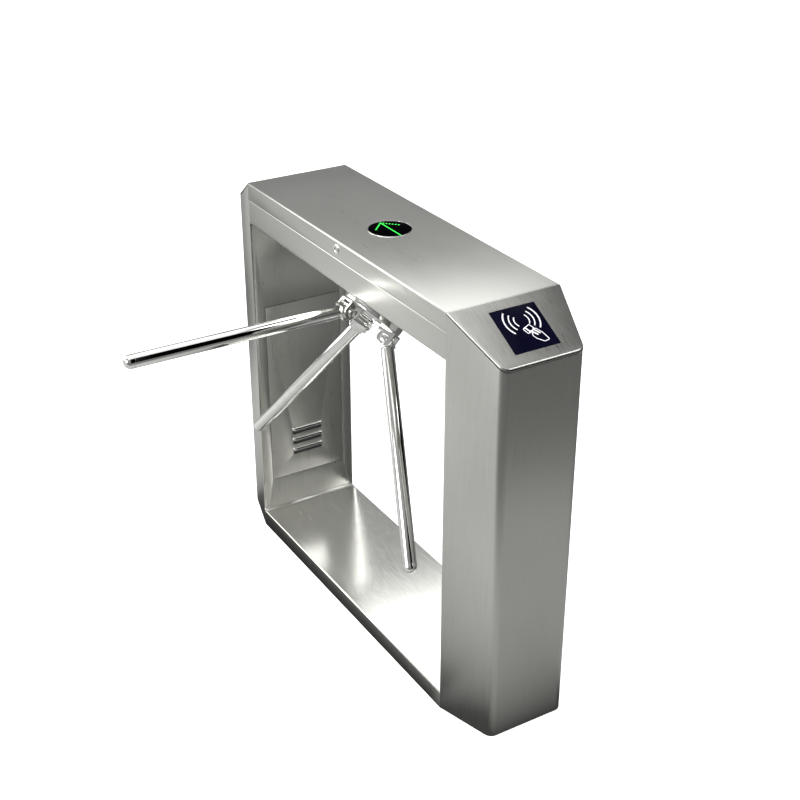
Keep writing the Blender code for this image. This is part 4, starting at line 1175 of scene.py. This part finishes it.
def glow_card(name, x, near, far, bottom, top, strength):
    """An upright bright card that faces +X; its strength runs from its bottom to its top."""
    corners = [(x, near, bottom), (x, far, bottom), (x, far, top), (x, near, top)]
    _, tree, (_, _, z) = mirrored_card(name, corners)
    glow = emission(tree, remap(z, bottom, top, *strength), (1, 1, 0.98, 1))
    back = add(tree, "NewGeometry").outputs["Backfacing"]
    veiled(tree, back, add(tree, "BsdfTransparent").outputs[0], glow)


def glow_cards():
    """Glints for the plinth's top to mirror: along the far wall's rear edge, and before its louvres."""
    rear = WIDTH / 2 + 0.002
    glow_card("edge_glow", 0.003 - INNER_X, rear, rear + 0.004, 0.05, 0.42, (2.0, 24.0))
    glow_card("louvre_glow", 0.013 - INNER_X, -0.078, 0.022, 0.155, 0.262, (1.5, 1.5))


def lobe_light(direction, toward, inner, outer, strength):
    """A soft round light in the sky: full inside the inner angle and gone at the outer one."""
    facing = add(direction, "VectorMath", {0: direction, 1: toward}, operation="DOT_PRODUCT").outputs["Value"]
    return product(step_mask(facing, cos(radians(outer)), cos(radians(inner))), strength)


def sky(tree):
    """What the steel mirrors: a ceiling box, soft lights, a low strip and dark walls."""
    direction = add(tree, "TexCoord").outputs["Generated"]
    x, y, z = axes(tree, "Generated")
    rise = maths("MAXIMUM", z, 0.05)
    u, v = maths("DIVIDE", x, rise), maths("DIVIDE", y, rise)
    front = window((u, -1.70, -1.20), (u, 0.60, 0.45), (v, -0.80, -0.40), (v, 0.55, 0.36))
    glow = total(*[lobe_light(direction, *lobe) for lobe in GLOWS])
    ceiling = maths("MAXIMUM", product(front, CEILING), glow)
    second = again(tree)
    behind = window((v, -0.10, -0.25), (v, -1.60, -1.20), (u, -2.20, -1.80), (u, 1.60, 1.20))
    behind = product(behind, remap(second, 0, 1, 0.12, BACKLIGHT))
    low = window((y, -0.10, -0.30), (z, 0.03, 0.10))
    strip = product(low, remap(x, -0.62, -0.45, STRIP, 0.10, True))
    wall = remap(x, -0.5, 0.3, 0.32, 0.0, True)
    fore = product(step_mask(y, 0.0, -0.5), 0.18)
    return total(ceiling, behind, strip, maths("MAXIMUM", wall, fore),
                 product(second, SECOND_SKY))


def studio():
    """White surroundings for the camera, and the sky for the steel."""
    world = bpy.data.worlds.new("studio")
    bpy.context.scene.world = world
    tree = empty_tree(world)
    seen = add(tree, "LightPath").outputs["Is Camera Ray"]
    strength = add(tree, "Mix", {0: seen, 2: sky(tree), 3: 1.0}, data_type="FLOAT")
    background = add(tree, "Background", {"Color": (1, 1, 1, 1), "Strength": strength.outputs[0]})
    add(tree, "OutputWorld", {0: background.outputs[0]})


def camera():
    """The camera at the photograph's angle."""
    data = bpy.data.cameras.new("camera")
    data.lens = CAMERA_LENS
    data.sensor_width = 36.0
    thing = new_object("camera", data)
    thing.location = CAMERA_PLACE
    back = Vector((sin(CAMERA_AZIMUTH) * cos(CAMERA_ELEVATION), -cos(CAMERA_AZIMUTH) * cos(CAMERA_ELEVATION),
                   sin(CAMERA_ELEVATION)))
    thing.rotation_euler = (-back).to_track_quat("-Z", "Y").to_euler()
    bpy.context.scene.camera = thing
    bpy.context.scene.view_settings.view_transform = "Standard"


legs()
beam()
lid()
tripod()
mechanism()
control_board()
floor()
floor_card()
shade_card()
glow_cards()
studio()
camera()
